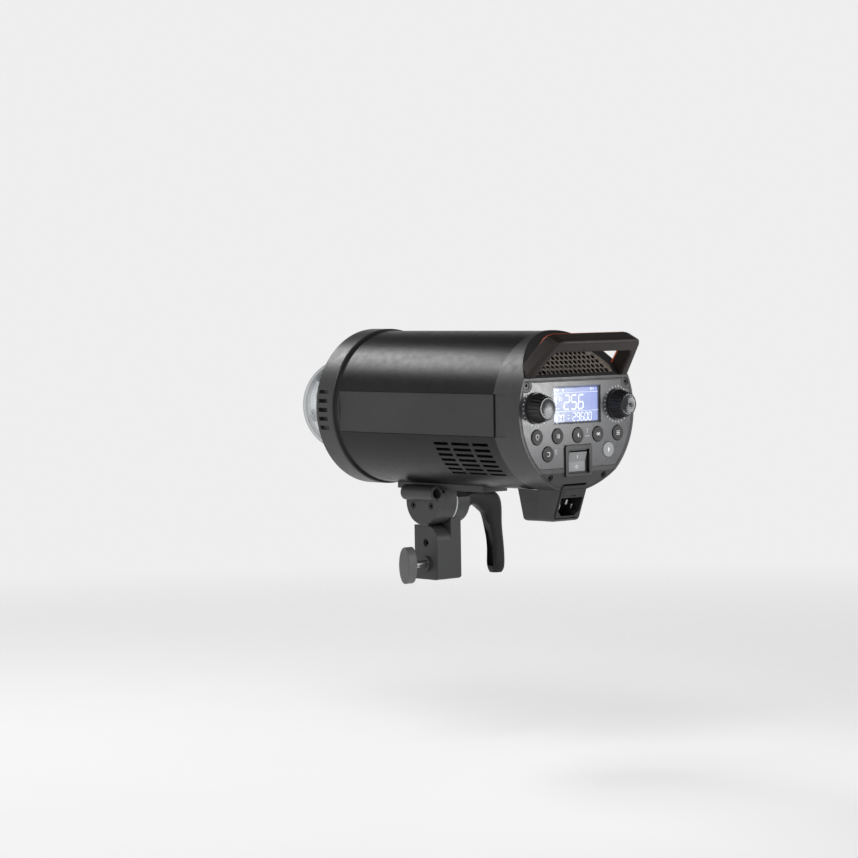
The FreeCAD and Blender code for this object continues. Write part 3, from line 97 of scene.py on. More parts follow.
class Shader:
    """One material being built: the methods add nodes and give back the socket to use."""

    def __init__(self, name):
        self.material = bpy.data.materials.new(name)
        self.material.use_nodes = True
        self.tree = self.material.node_tree
        self.tree.nodes.clear()
        self.out = self.add("ShaderNodeOutputMaterial")
        self.space = self.add("ShaderNodeTexCoord").outputs["Object"]

    def add(self, kind, sockets=None, **settings):
        """Add a node with its settings; sockets are the constant values of its inputs."""
        node = self.tree.nodes.new(kind)
        for key, value in settings.items():
            setattr(node, key, value)
        for key, value in (sockets or {}).items():
            node.inputs[key].default_value = value
        return node

    def link(self, source, target):
        self.tree.links.new(source, target)

    def maths(self, operation, source, other=None):
        """One step of arithmetic on a value, with a number where the step needs one."""
        node = self.add("ShaderNodeMath", operation=operation)
        self.link(source, node.inputs[0])
        if other is not None:
            node.inputs[1].default_value = other
        return node.outputs[0]

    def split(self, vector):
        """The three parts of a vector, by name."""
        node = self.add("ShaderNodeSeparateXYZ")
        self.link(vector, node.inputs["Vector"])
        return node.outputs

    def join(self, **parts):
        """A vector from the parts that are given as X=, Y= or Z=."""
        node = self.add("ShaderNodeCombineXYZ")
        for axis, part in parts.items():
            self.link(part, node.inputs[axis])
        return node.outputs["Vector"]

    def length(self, vector):
        node = self.add("ShaderNodeVectorMath", operation="LENGTH")
        self.link(vector, node.inputs[0])
        return node.outputs["Value"]

    def stretched(self, scale):
        """The object's own space with a different scale along each axis."""
        mapping = self.add("ShaderNodeMapping", {"Scale": scale})
        self.link(self.space, mapping.inputs["Vector"])
        return mapping.outputs["Vector"]

    def noise(self, scale, detail=4.0, roughness=0.55, vector=None):
        noise = self.add("ShaderNodeTexNoise",
                         {"Scale": scale, "Detail": detail, "Roughness": roughness})
        self.link(vector or self.space, noise.inputs["Vector"])
        return noise.outputs["Fac"]

    def spread(self, source, low=0.0, high=1.0, from_low=NOISE_LOW, from_high=NOISE_HIGH):
        """Stretch a value from its own range to the one from low to high."""
        node = self.add("ShaderNodeMapRange", {"From Min": from_low, "From Max": from_high,
                                               "To Min": low, "To Max": high})
        self.link(source, node.inputs["Value"])
        return node.outputs["Result"]

    def mix(self, factor, a, b):
        """A colour between a and b, each a colour or a socket."""
        node = self.add("ShaderNodeMix", data_type="RGBA")
        self.link(factor, node.inputs["Factor"])
        for socket, value in (("A", a), ("B", b)):
            target = [s for s in node.inputs if s.name == socket and s.type == "RGBA"][0]
            if isinstance(value, bpy.types.NodeSocket):
                self.link(value, target)
            else:
                target.default_value = (*value, 1.0)
        return [s for s in node.outputs if s.type == "RGBA"][0]

    def bump(self, height, strength, distance, normal=None):
        """A relief that is distance millimetres deep, on top of normal where that is given."""
        node = self.add("ShaderNodeBump", {"Strength": strength, "Distance": distance * MM})
        self.link(height, node.inputs["Height"])
        if normal is not None:
            self.link(normal, node.inputs["Normal"])
        return node.outputs["Normal"]

    def soft_edges(self, radius):
        """Normals that round each edge off by a radius in millimetres."""
        node = self.add("ShaderNodeBevel", {"Radius": radius * MM}, samples=BEVEL_SAMPLES)
        return node.outputs["Normal"]

    def both(self, factor, first, second):
        """Two shaders mixed by a number or a socket."""
        node = self.add("ShaderNodeMixShader")
        if isinstance(factor, bpy.types.NodeSocket):
            self.link(factor, node.inputs["Fac"])
        else:
            node.inputs["Fac"].default_value = factor
        self.link(first, node.inputs[1])
        self.link(second, node.inputs[2])
        return node.outputs["Shader"]

    def finished(self, shader):
        """Put the shader on the surface and give the material."""
        self.link(shader, self.out.inputs["Surface"])
        return self.material


def tint(colour, factor):
    return tuple(min(1.0, c * factor) for c in colour)


GRAIN_SHARE = 0.35              # how much of the lighter tone the tops of the grain take
GRAIN_TINT = 1.6


def moulded(name, colour, rough, grain=0.45, bump=0.25, depth=0.03, edge=0.35,
            metal=0.0, specular=0.4, blotch=0.18):
    """Plastic, paint or metal with a fine grain, uneven gloss and softened edges.

    grain, depth and edge are millimetres; blotch is how far the colour wanders.
    """
    s = Shader(name)
    bsdf = s.add("ShaderNodeBsdfPrincipled", {"Metallic": metal, "Specular IOR Level": specular})
    fine = s.noise(MM_PER_METRE / grain, detail=3.0, roughness=0.6)
    broad = s.noise(BLOTCHES, detail=3.0)
    gloss = s.noise(UNEVEN_GLOSS)
    worn = s.mix(s.spread(broad), tint(colour, 1.0 - blotch), tint(colour, 1.0 + blotch))
    grainy = s.mix(s.spread(fine, high=GRAIN_SHARE), worn, tint(colour, GRAIN_TINT))
    s.link(grainy, bsdf.inputs["Base Color"])
    s.link(s.spread(gloss, rough * 0.88, rough * 1.12), bsdf.inputs["Roughness"])
    s.link(s.bump(fine, bump, depth, s.soft_edges(edge)), bsdf.inputs["Normal"])
    return s.finished(bsdf.outputs["BSDF"])


def turned(name, colour, rough, axis_scale):
    """Bare metal with fine machining lines; axis_scale stretches the noise into rings."""
    s = Shader(name)
    bsdf = s.add("ShaderNodeBsdfPrincipled", {"Metallic": 1.0})
    lines = s.noise(1.0, detail=2.0, roughness=0.5, vector=s.stretched(axis_scale))
    smudge = s.noise(METAL_SMUDGES, detail=3.0)
    tone = s.mix(s.spread(lines), tint(colour, 0.75), tint(colour, 1.2))
    s.link(tone, bsdf.inputs["Base Color"])
    s.link(s.spread(smudge, rough * 0.8, rough * 1.25), bsdf.inputs["Roughness"])
    relief = s.bump(lines, strength=0.25, distance=0.02, normal=s.soft_edges(0.2))
    s.link(relief, bsdf.inputs["Normal"])
    return s.finished(bsdf.outputs["BSDF"])


EDGE_BLEND = 0.35               # how soon clear plastic and glass turn to their painted edge shade towards an edge
GLARE_BLEND = 0.12              # how soon they turn shiny towards an edge
GLARE_AT_EDGE = 0.75
MILK_ROUGHNESS = 0.35


def clear(name, colour, painted_edge_shade, face_on, rough, veil=0.0, shine=1.0):
    """Thin clear plastic or glass: light passes straight through, and towards its edges the colour turns
    to a painted edge shade that stands in for refraction.

    face_on is how much it reflects seen square on, and veil how milky it is.
    """
    s = Shader(name)
    facing = s.add("ShaderNodeLayerWeight", {"Blend": EDGE_BLEND}).outputs["Facing"]
    grazing = s.add("ShaderNodeLayerWeight", {"Blend": GLARE_BLEND}).outputs["Facing"]
    smear = s.noise(GLASS_SMEARS, detail=3.0)
    through = s.add("ShaderNodeBsdfTransparent")
    # the colour darkens towards edges seen at a slant: painted shade that stands in for refraction
    edge_shade_share = s.spread(facing, from_low=0.25, from_high=1.0)
    s.link(s.mix(edge_shade_share, colour, painted_edge_shade), through.inputs["Color"])
    gloss = s.add("ShaderNodeBsdfGlossy", {"Color": (shine, shine, shine, 1.0)})
    s.link(s.spread(smear, rough * 0.6, rough * 1.6), gloss.inputs["Roughness"])
    glare = s.spread(grazing, face_on, GLARE_AT_EDGE, from_low=0.0, from_high=1.0)
    glassy = s.both(glare, through.outputs["BSDF"], gloss.outputs["BSDF"])
    if not veil:
        return s.finished(glassy)
    milk = s.add("ShaderNodeBsdfPrincipled", {"Roughness": MILK_ROUGHNESS})
    s.link(s.mix(s.spread(smear), tint(colour, 0.8), colour), milk.inputs["Base Color"])
    return s.finished(s.both(veil, glassy, milk.outputs["BSDF"]))


DISPLAY_HALF_WIDTH = 27.0
DISPLAY_OFF_COLOUR = (0.04, 0.045, 0.06, 1.0)


def glowing(name, left, right, strength):
    """The backlit display: a soft change of colour from one side to the other."""
    s = Shader(name)
    half = DISPLAY_HALF_WIDTH * MM
    across = s.spread(s.split(s.space)["X"], from_low=-half, from_high=half)
    mottle = s.noise(BACKLIGHT_MOTTLE, detail=2.0)
    tone = s.mix(s.spread(mottle, high=0.25), s.mix(across, right, left), tint(left, 1.15))
    bsdf = s.add("ShaderNodeBsdfPrincipled", {
        "Base Color": DISPLAY_OFF_COLOUR, "Emission Strength": strength, "Roughness": 0.3})
    s.link(tone, bsdf.inputs["Emission Color"])
    return s.finished(bsdf.outputs["BSDF"])


def printed(name, colour, glow):
    """Slightly uneven screen print that gives off a glow: on the display's segments this is the backlight,
    on the panel and buttons it is painted light that keeps the print bright on a dark panel.
    """
    s = Shader(name)
    bsdf = s.add("ShaderNodeBsdfPrincipled", {"Emission Strength": glow, "Roughness": 0.5})
    speck = s.noise(INK_SPECKS, detail=2.0)
    tone = s.mix(s.spread(speck), tint(colour, 0.8), colour)
    s.link(tone, bsdf.inputs["Base Color"])
    s.link(tone, bsdf.inputs["Emission Color"])
    return s.finished(bsdf.outputs["BSDF"])


TRACKS_PER_METRE = 260.0
BOARD_GREENS = {
    "Color1": (0.004, 0.012, 0.007, 1), "Color2": (0.005, 0.015, 0.008, 1),
    "Mortar": (0.01, 0.028, 0.015, 1),
}


def circuit(name):
    """Green solder mask with tracks."""
    s = Shader(name)
    bsdf = s.add("ShaderNodeBsdfPrincipled", {"Roughness": 0.35})
    tracks = s.add("ShaderNodeTexBrick", BOARD_GREENS)
    s.link(s.stretched((TRACKS_PER_METRE,) * 3), tracks.inputs["Vector"])
    s.link(tracks.outputs["Color"], bsdf.inputs["Base Color"])
    relief = s.bump(tracks.outputs["Fac"], strength=0.3, distance=0.05)
    s.link(relief, bsdf.inputs["Normal"])
    return s.finished(bsdf.outputs["BSDF"])


SPUN_DARK, SPUN_LIGHT = (0.016, 0.0163, 0.0168), (0.07, 0.071, 0.073)


def spun_cap(name):
    """Spun aluminium whose fine rings follow each dial's own axis."""
    s = Shader(name)
    place = s.split(s.space)
    off_x = s.maths("SUBTRACT", s.maths("ABSOLUTE", place["X"]), DIAL_X * MM)
    off_z = s.maths("SUBTRACT", place["Z"], lamp(0.0, 0.0, DIAL_Z).z)
    radius = s.length(s.join(X=off_x, Y=off_z))
    rings = s.noise(SPUN_RINGS, detail=2.0, roughness=0.5, vector=s.join(X=radius))
    tangent = s.add("ShaderNodeTangent", direction_type="RADIAL", axis="Y")
    bsdf = s.add("ShaderNodeBsdfPrincipled", {"Anisotropic": 0.92, "Metallic": 1.0})
    s.link(s.mix(s.spread(rings), SPUN_DARK, SPUN_LIGHT), bsdf.inputs["Base Color"])
    s.link(s.spread(rings, low=0.2, high=0.32), bsdf.inputs["Roughness"])
    relief = s.bump(rings, strength=0.35, distance=0.02, normal=s.soft_edges(0.15))
    s.link(relief, bsdf.inputs["Normal"])
    s.link(tangent.outputs["Tangent"], bsdf.inputs["Tangent"])
    return s.finished(bsdf.outputs["BSDF"])


# --- materials: a colour and a roughness, then what differs from a plain moulding -----
SATIN_TUBE = moulded("satin_tube", (0.0075, 0.0075, 0.008), 0.34, grain=0.5, bump=0.05,
                     depth=0.01, specular=0.22)
STRIP = moulded("strip_paint", (0.021, 0.0212, 0.0222), 0.40, grain=0.35, bump=0.12,
                depth=0.015, specular=0.45)
COLLAR = moulded("collar_plastic", (0.034, 0.034, 0.0354), 0.38, grain=0.4, bump=0.18,
                 depth=0.02, specular=0.42)
HOUSING = moulded("housing_plastic", (0.030, 0.030, 0.0315), 0.40, bump=0.3, specular=0.42)
PANEL = moulded("panel_plastic", (0.031, 0.031, 0.0328), 0.46, grain=0.4, bump=0.3, specular=0.42)
OVERLAY = moulded("overlay_film", (0.060, 0.061, 0.066), 0.3, grain=0.3, bump=0.12,
                  depth=0.012, edge=0.15, specular=0.5)
GRIP = moulded("grip_rubber", (0.019, 0.0148, 0.013), 0.44, grain=0.6, bump=0.4,
               depth=0.04, edge=1.2, specular=0.25)
ACCENT = moulded("accent_rubber", (0.62, 0.11, 0.035), 0.5, grain=0.6, bump=0.3,
                 edge=0.4, specular=0.35)
CAST = moulded("cast_paint", (0.034, 0.0343, 0.0356), 0.38, grain=0.9, bump=0.35,
               depth=0.05, edge=0.5, specular=0.42)
LEVER = moulded("lever_plastic", (0.0045, 0.0045, 0.0048), 0.42, grain=0.7, bump=0.2,
                edge=0.5, specular=0.3)
CLAMP_WING = moulded("clamp_wing", (0.105, 0.105, 0.108), 0.40, grain=0.7, bump=0.2, edge=0.6)
RING = moulded("ring_plastic", (0.42, 0.425, 0.43), 0.5, grain=0.4, bump=0.2)
BEZEL = moulded("bezel_plastic", (0.008, 0.008, 0.0085), 0.35, grain=0.4, bump=0.1, depth=0.02)
DIAL = moulded("dial_plastic", (0.009, 0.009, 0.0095), 0.32, grain=0.5, bump=0.1,
               depth=0.02, edge=0.25, specular=0.55)
ROCKER = moulded("rocker_plastic", (0.20, 0.204, 0.21), 0.3, grain=0.5, bump=0.08,
                 depth=0.02, edge=0.4, specular=0.5)
BUTTON = moulded("button_rubber", (0.006, 0.006, 0.0064), 0.5, grain=0.35, bump=0.2,
                 depth=0.02, edge=0.3)
TEST_BUTTON = moulded("test_button", (0.22, 0.225, 0.235), 0.35, grain=0.3, bump=0.1,
                      depth=0.02, edge=0.3)
BLACK_SCREW = moulded("black_oxide", (0.02, 0.02, 0.02), 0.35, grain=0.25, bump=0.2,
                      depth=0.02, edge=0.15, metal=0.6)
MESH = moulded("mesh_paint", (0.26, 0.228, 0.20), 0.40, grain=0.3, bump=0.15,
               depth=0.02, edge=0.2, metal=0.2)
INLET = moulded("inlet_plastic", (0.016, 0.016, 0.0168), 0.4, grain=0.4, bump=0.15,
                depth=0.02, edge=0.3)
CAPACITOR = moulded("capacitor_sleeve", (0.01, 0.014, 0.05), 0.3, grain=1.2, bump=0.1)
FAN = moulded("fan_plastic", (0.012, 0.012, 0.012), 0.45, grain=0.5)
CERAMIC = moulded("ceramic", (0.72, 0.71, 0.68), 0.6, grain=0.5, bump=0.2, edge=0.2)
ENAMEL = moulded("white_enamel", (0.82, 0.83, 0.84), 0.35, grain=0.5, bump=0.08,
                 edge=0.2, blotch=0.04)
SHAFT = turned("plated_shaft", (0.6, 0.6, 0.6), 0.22, (900.0, 40.0, 40.0))
MACHINED = turned("machined_alloy", (0.16, 0.165, 0.17), 0.35, (60.0, 1500.0, 60.0))
SPRING = turned("spring_steel", (0.5, 0.5, 0.5), 0.3, (200.0, 900.0, 200.0))
SINK = turned("extruded_alloy", (0.4, 0.41, 0.42), 0.45, (60.0, 1500.0, 60.0))
BRASS = turned("plated_brass", (0.50, 0.42, 0.28), 0.3, (900.0, 90.0, 90.0))
NICKEL = turned("plated_nickel", (0.42, 0.42, 0.41), 0.28, (900.0, 90.0, 90.0))
BOARD = circuit("circuit_board")
# the second colour of each clear material is its painted edge shade, which stands in for refraction
DOME = clear("dome_glass", (0.96, 0.97, 0.975), (0.36, 0.37, 0.38), 0.02, 0.03)
LENS = clear("lens_plastic", (0.9, 0.91, 0.92), (0.12, 0.12, 0.125), 0.03, 0.05, veil=0.12)
FROSTED = clear("flash_tube_glass", (0.95, 0.95, 0.94), (0.6, 0.6, 0.6), 0.05, 0.12, veil=0.4)
WINDOW = clear("display_window", (0.96, 0.97, 1.0), (0.8, 0.82, 0.9), 0.0, 0.08, shine=0.25)
DISPLAY = glowing("display_backlight", (0.42, 0.46, 0.58), (0.24, 0.31, 0.74), 1.0)
LIT_PRINT = printed("display_segments", (0.92, 0.94, 1.0), 0.75)
# the white and grey print glow though print gives no light: painted light that keeps it bright on the dark
# panel
WHITE_PRINT = printed("white_print", (0.80, 0.81, 0.82), 0.22)
DIM_PRINT = printed("grey_print", (0.55, 0.56, 0.57), 0.1)
CAP = spun_cap("spun_cap")

# every node but the six dark push buttons, which are all BUTTON
FINISH = {
    "main_tube": SATIN_TUBE, "side_strips": STRIP, "front_collar": COLLAR, "bayonet_ring": MACHINED,
    "casing_screws": BLACK_SCREW, "release_slide": COLLAR, "glass_dome": DOME, "dome_clips": SPRING,
    "lamp_plate": ENAMEL, "led_carrier": ENAMEL, "led_lenses": LENS, "flash_tube": FROSTED,
    "tube_socket": CERAMIC, "heat_sink": SINK, "flash_capacitors": CAPACITOR, "fan_frame": FAN,
    "fan_rotor": FAN, "charger_board": BOARD, "rear_housing": HOUSING, "vent_mesh": MESH,
    "handle_grip": GRIP, "handle_accent": ACCENT, "rear_panel": PANEL, "panel_overlay": OVERLAY,
    "switch_bezel": BEZEL, "power_switch": BEZEL, "rocker": ROCKER, "lcd_window": WINDOW,
    "lcd_module": DISPLAY, "control_board": BOARD, "encoders": SHAFT, "inlet_housing": HOUSING,
    "inlet_socket": INLET, "inlet_pins": NICKEL, "fuse_drawer": INLET, "fuses": FROSTED,
    "bracket_foot": CAST, "umbrella_holder": CAST, "bracket_screws": BLACK_SCREW, "tilt_bolt": SHAFT,
    "stand_yoke": CAST, "friction_ring": RING, "tilt_washer": SHAFT, "set_screw": BLACK_SCREW,
    "clamp_screw": SHAFT, "clamp_knob": CLAMP_WING, "clamp_pad": BRASS, "clamp_lever": LEVER,
    "lever_nut": SHAFT, "knob_left": DIAL, "knob_right": DIAL, "knob_cap_left": CAP,
    "knob_cap_right": CAP, "button_test": TEST_BUTTON,
}
SHARP_FROM = math.radians(28.0)         # edges that turn by more than this stay sharp


def shade_node(node):
    """Give a CAD node its finish and smooth its round faces."""
    node.data.materials.clear()
    node.data.materials.append(FINISH.get(node.name, BUTTON))
    for face in node.data.polygons:
        face.use_smooth = True
        face.material_index = 0
    node.data.set_sharp_from_angle(angle=SHARP_FROM)


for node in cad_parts.values():
    shade_node(node)


# --- strokes ---------------------------------------------------------------------------
# A stroke is an outline of x, z points in the lamp's millimetres.
CHAMFER = 0.25                  # of a stroke's shorter side
DIGIT_LEAN = 0.09               # how far a digit leans for each millimetre of its height
DIGIT_GAP = 0.55                # of a stroke's width, left open between a digit's segments


def turned_point(x, z, degrees, cx=0.0, cz=0.0):
    """The point x, z turned about the origin and then moved by cx, cz."""
    a = math.radians(degrees)
    return (cx + x * math.cos(a) - z * math.sin(a), cz + x * math.sin(a) + z * math.cos(a))


def bar(x, z, long, wide, degrees=0.0):
    """A straight stroke centred on x, z, with chamfered ends."""
    c = min(wide, long) * CHAMFER
    half, side = long / 2.0, wide / 2.0
    corners = [(-half, -side + c), (-half + c, -side), (half - c, -side), (half, -side + c),
               (half, side - c), (half - c, side), (-half + c, side), (-half, side - c)]
    return [turned_point(a, b, degrees, x, z) for a, b in corners]


def arc(x, z, radius, wide, start, end, steps=14):
    """Strips along a circle."""
    strips = []
    for i in range(steps):
        a = math.radians(start + (end - start) * i / steps)
        b = math.radians(start + (end - start) * (i + 1) / steps)
        inner, outer = radius - wide / 2.0, radius + wide / 2.0
        strips.append([(x + r * math.cos(t), z + r * math.sin(t))
                       for r, t in ((inner, a), (outer, a), (outer, b), (inner, b))])
    return strips


def bolt(size):
    """A flash symbol as two wedges."""
    upper = [(0.12, 1.0), (-0.5, -0.12), (0.06, -0.12), (0.3, 0.2)]
    lower = [(-0.12, -1.0), (0.5, 0.12), (-0.06, 0.12), (-0.3, -0.2)]
    return [[(-a * size, b * size) for a, b in part] for part in (upper, lower)]


# a: top, b: upper right, c: lower right, d: foot, e: lower left, f: upper left, g: middle
SEGMENTS = {
    0: "abcdef", 1: "bc", 2: "abged", 3: "abgcd", 4: "fgbc", 5: "afgcd",
    6: "afgedc", 7: "abc", 8: "abcdefg", 9: "abfgcd",
}


def seven_segment(digit, x, z, high, wide, stroke):
    """One digit whose left edge is at x as the operator reads it, its foot at z."""
    half = high / 2.0
    places = {
        "a": (wide / 2, high, wide, 0), "g": (wide / 2, half, wide, 0), "d": (wide / 2, 0, wide, 0),
        "f": (0, half * 1.5, half, 90), "b": (wide, half * 1.5, half, 90),
        "e": (0, half * 0.5, half, 90), "c": (wide, half * 0.5, half, 90),
    }
    strokes = []
    for name in SEGMENTS[digit]:
        cx, cz, long, degrees = places[name]
        outline = bar(cx, cz, long - stroke * DIGIT_GAP, stroke, degrees)
        strokes.append([(x - (a + DIGIT_LEAN * b), z + b) for a, b in outline])
    return strokes


def number(digits, x, z, high, wide, stroke, pitch):
    """A row of digits that starts at x and reads to the operator's right."""
    strokes = []
    for i, digit in enumerate(digits):
        strokes += seven_segment(int(digit), x - i * pitch, z, high, wide, stroke)
    return strokes


def marks(name, strokes, y, thick, material, body, place=None):
    """Thin raised strokes standing on the plane y; place turns them with a leaning part."""
    mesh = bpy.data.meshes.new(name)
    build = bmesh.new()
    for stroke in strokes:
        low = [build.verts.new(lamp(x, y, z)) for x, z in stroke]
        high = [build.verts.new(lamp(x, y + thick, z)) for x, z in stroke]
        build.faces.new(low)
        build.faces.new(high[::-1])
        for i in range(len(stroke)):
            j = (i + 1) % len(stroke)
            build.faces.new((low[i], high[i], high[j], low[j]))
    if place is not None:
        build.transform(place)
    bmesh.ops.recalc_face_normals(build, faces=build.faces)
    build.to_mesh(mesh)
    build.free()
    mesh.materials.append(material)
    piece = bpy.data.objects.new(name, mesh)
    bpy.context.scene.collection.objects.link(piece)
    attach(piece, body)


def tipped(degrees, y, z):
    """Turn about a line along x through y, z of the lamp."""
    centre = lamp(0.0, y, z)
    turn = Matrix.Rotation(math.radians(degrees), 4, "X")
    return Matrix.Translation(centre) @ turn @ Matrix.Translation(-centre)


# --- printed marks -------------------------------------------------------------------
PRINT_THICK = 0.03
PANEL_FACE_Y = 0.0

# scales round the two dials: long and short ticks by turns
SCALE_TICKS = 26
SCALE_R = 14.6
TICK_LONG, TICK_SHORT, TICK_WIDE = 1.5, 1.0, 0.45

for side, sign in (("left", 1), ("right", -1)):
    ticks = []
    for i in range(SCALE_TICKS):
        angle = 360.0 * i / SCALE_TICKS
        tx, tz = turned_point(SCALE_R, 0.0, angle, sign * DIAL_X, DIAL_Z)
        ticks.append(bar(tx, tz, TICK_LONG if i % 2 else TICK_SHORT, TICK_WIDE, angle))
    marks("dial_scale_" + side, ticks, PANEL_FACE_Y, PRINT_THICK, WHITE_PRINT, "head")

# what the display shows: plain figures, rules and level bars
DISPLAY_Y = -1.58
SEGMENT_THICK = 0.12
RULE_LONG, RULE_WIDE = 51, 0.3
STATUS_Z = 17.7                 # the small symbols along the display's top
# digits, left edge, foot, height, width, stroke and pitch of each number
DISPLAY_NUMBERS = (
    ("256", 13.6, 1.9, 11.2, 5.6, 1.25, 8.0),
    ("29600", 3.8, -7.6, 6.3, 3.1, 0.75, 4.5),
    ("100", 25.6, -8.3, 5.8, 2.9, 0.7, 4.2),
    ("8", 25.6, 5.6, 6.0, 3.4, 0.8, 0.0),
)

shown = []
for figures in DISPLAY_NUMBERS:
    shown += number(*figures)
pair_of_strokes = [bar(x, 10.2, 3.4, 0.6, 80) for x in (18.6, 16.8)]
rules = [bar(0, z, RULE_LONG, RULE_WIDE) for z in (15.3, 0.25)]
row_of_uprights = [bar(24.5 - 1.7 * i, STATUS_Z, 2.2, 0.9, 90) for i in range(4)]
block = [bar(14.6, STATUS_Z, 2.4, 2.0)]
level_bars = [bar(x, STATUS_Z, 0.8, high) for x, high in ((-17.0, 2.2), (-18.6, 1.6), (-20.2, 1.0))]
dashes = [bar(23.6 - 2.0 * i, 2.6, 1.3, 0.5) for i in range(3)]
colon = [bar(8.6, -5.6, 1.8, 1.2), bar(8.6, -3.0, 1.8, 0.5)]
shown += pair_of_strokes + rules + row_of_uprights + block + level_bars + dashes + colon
marks("display_figures", shown, DISPLAY_Y, SEGMENT_THICK, LIT_PRINT, "head")

# pictograms on the push buttons
BUTTON_FACE_Y = 0.9
BUTTON_ROW_Z = -19.2
BUTTON_AT = {
    "lamp": (46.0, BUTTON_ROW_Z), "sound": (23.0, BUTTON_ROW_Z), "slave": (0.0, BUTTON_ROW_Z),
    "wireless": (-23.0, BUTTON_ROW_Z), "menu": (-46.0, BUTTON_ROW_Z),
    "mode": (34.2, -33.2), "test": (-34.8, -32.4),
}
ICON_R = 1.7
ICON_LINE = 0.4


def pictogram(kind):
    """The strokes of a button's symbol, about the button's centre."""
    if kind == "lamp":
        bulb = arc(0, 0.5, ICON_R, ICON_LINE, -55, 235)
        return bulb + [bar(0, -1.5, 1.5, 0.35), bar(0, -2.1, 1.0, 0.35)]
    if kind == "sound":
        near = arc(0.6, 0, 1.2, ICON_LINE, 110, 250, 8)
        far = arc(0.6, 0, 2.3, ICON_LINE, 125, 235, 8)
        return [bar(1.0, 0.0, 3.4, ICON_LINE, 90)] + near + far
    if kind == "slave":
        return bolt(2.0) + [bar(-2.2, -1.4, 1.0, ICON_LINE, 90)]
    if kind == "wireless":
        dot = arc(0, 0, 0.5, 0.9, 0, 360, 8)
        waves = arc(0, 0, ICON_R, ICON_LINE, -50, 50, 8) + arc(0, 0, ICON_R, ICON_LINE, 130, 230, 8)
        return dot + waves
    if kind == "menu":
        return [bar(0, z, 3.8, 0.45) for z in (-1.3, 0.0, 1.3)]
    if kind == "mode":
        return arc(0, 0, ICON_R, ICON_LINE, 40, 320, 12) + [bar(-1.6, 1.2, 1.4, ICON_LINE, 45)]
    return bolt(2.4)


for kind, (bx, bz) in BUTTON_AT.items():
    strokes = [[(x + bx, z + bz) for x, z in stroke] for stroke in pictogram(kind)]
    marks("icon_" + kind, strokes, BUTTON_FACE_Y, PRINT_THICK, WHITE_PRINT, "button_" + kind)

# small printed symbols beside the buttons: a ring over a dash, and a stem between two bars
RING_X, STEM_X = 24.6, -11.4
ring_over_dash = arc(RING_X, -31.2, 1.0, 0.35, 0, 360, 8) + [bar(RING_X, -33.4, 2.2, 0.35)]
stem_and_bars = [bar(STEM_X, -14.8, 3.2, 0.35), bar(STEM_X, -17.0, 0.4, 2.2), bar(STEM_X, -20.4, 5.0, 0.4)]
marks("panel_symbols", ring_over_dash + stem_and_bars, PANEL_FACE_Y, PRINT_THICK, DIM_PRINT,
      "head")

# on and off marks on the rocker's two halves, which lean with the rocker at rest
ROCKER_LEAN = -7.0
ROCKER_PIVOT_Y, ROCKER_PIVOT_Z = -4.0, -40.4
ROCKER_FACE_Y = -1.26
ROCKER_MARK_THICK = 0.35
rocker_place = tipped(ROCKER_LEAN, ROCKER_PIVOT_Y, ROCKER_PIVOT_Z)
on_mark = [bar(0, -36.2, 2.6, 0.5, 90)]
off_mark = arc(0, -44.6, 1.2, 0.4, 0, 360, 12)
for name, strokes in (("rocker_on_mark", on_mark), ("rocker_off_mark", off_mark)):
    marks(name, strokes, ROCKER_FACE_Y, ROCKER_MARK_THICK, WHITE_PRINT, "rocker",
          rocker_place)

# --- stage ------------------------------------------------------------------------------
WHITE = (1.0, 1.0, 1.0, 1.0)
FLOOR_Y, FLOOR_Z = 0.04, -0.16          # the floor's centre and level
FLOOR_R = 2.0
FLOOR_SIDES = 96
FLOOR_GLOW = 0.42
FLOOR_DARK, FLOOR_LIGHT = (0.80, 0.80, 0.80), (0.82, 0.82, 0.82)
FADE_FROM, FADE_TO = 0.45, 0.92 * FLOOR_R
WALL_LIGHT, CEILING_LIGHT = 0.86, 0.03
WALL_TOP, CEILING_FROM = 0.12, 0.55     # heights on the world's unit sphere
LIGHT_TARGET = lamp(0, -120, -10)

# direction from the target, distance, width and height in metres, and watts
SOFT_BOXES = {
    "soft_box_front": ((0.2, -0.74, 0.68), 1.3, (0.6, 0.3), 7.0),
    "soft_box_panel": ((-0.466, 0.885, 0.04), 0.47, (0.07, 0.08), 0.55),
    "soft_box_camera": ((0.90, 0.62, 0.85), 1.9, (0.7, 0.4), 10.0),
}


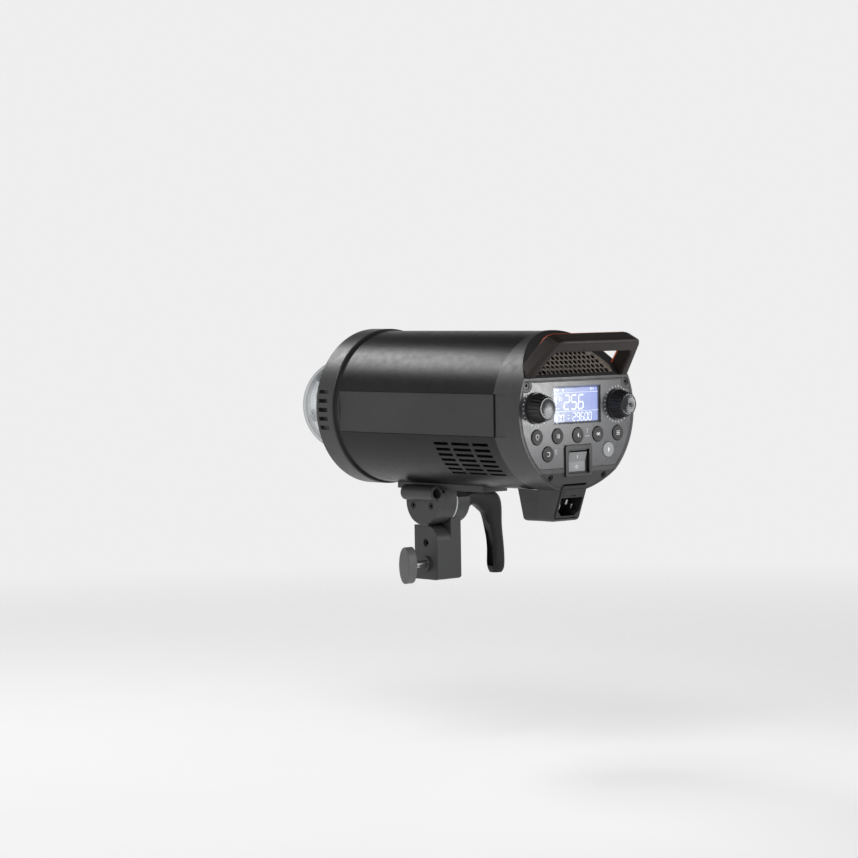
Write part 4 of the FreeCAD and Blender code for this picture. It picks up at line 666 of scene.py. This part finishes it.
def make_stage():
    """A round pale floor that fades out into the pale surroundings."""
    mesh = bpy.data.meshes.new("pale_floor")
    build = bmesh.new()
    bmesh.ops.create_circle(build, cap_ends=True, segments=FLOOR_SIDES, radius=FLOOR_R)
    build.transform(Matrix.Translation((0.0, FLOOR_Y, FLOOR_Z)))
    build.to_mesh(mesh)
    build.free()
    s = Shader("pale_floor")
    bsdf = s.add("ShaderNodeBsdfPrincipled", {
        "Roughness": 0.9, "Specular IOR Level": 0.1,
        "Emission Color": WHITE, "Emission Strength": FLOOR_GLOW})
    patchy = s.spread(s.noise(PAPER, detail=3.0))
    s.link(s.mix(patchy, FLOOR_DARK, FLOOR_LIGHT), bsdf.inputs["Base Color"])
    fade = s.spread(s.length(s.space), from_low=FADE_FROM, from_high=FADE_TO)
    nothing = s.add("ShaderNodeBsdfTransparent").outputs["BSDF"]
    mesh.materials.append(s.finished(s.both(fade, bsdf.outputs["BSDF"], nothing)))
    floor = bpy.data.objects.new("pale_floor", mesh)
    bpy.context.scene.collection.objects.link(floor)


def soft_box(name, direction, distance, size, power):
    """A soft white light that the camera doesn't see, looking at the lamp."""
    direction = Vector(direction).normalized()
    data = bpy.data.lights.new(name, "AREA")
    data.shape = "RECTANGLE"
    data.size, data.size_y = size
    data.energy = power
    light = bpy.data.objects.new(name, data)
    light.location = LIGHT_TARGET + direction * distance
    light.visible_camera = False
    light.rotation_mode = "QUATERNION"
    light.rotation_quaternion = direction.to_track_quat("Z", "Y")
    bpy.context.scene.collection.objects.link(light)


def make_world():
    """Pale studio walls all round under a dark ceiling."""
    world = bpy.data.worlds.new("studio")
    world.use_nodes = True
    tree = world.node_tree
    split = tree.nodes.new("ShaderNodeSeparateXYZ")
    tree.links.new(tree.nodes.new("ShaderNodeTexCoord").outputs["Generated"], split.inputs["Vector"])
    height = tree.nodes.new("ShaderNodeMapRange")
    height.interpolation_type = "SMOOTHSTEP"
    height.inputs["From Min"].default_value = WALL_TOP
    height.inputs["From Max"].default_value = CEILING_FROM
    height.inputs["To Min"].default_value = WALL_LIGHT
    height.inputs["To Max"].default_value = CEILING_LIGHT
    tree.links.new(split.outputs["Z"], height.inputs["Value"])
    background = tree.nodes["Background"]
    background.inputs["Color"].default_value = WHITE
    tree.links.new(height.outputs["Result"], background.inputs["Strength"])
    bpy.context.scene.world = world


make_stage()
make_world()
for name, settings in SOFT_BOXES.items():
    soft_box(name, *settings)
bpy.context.scene.view_settings.view_transform = "Standard"
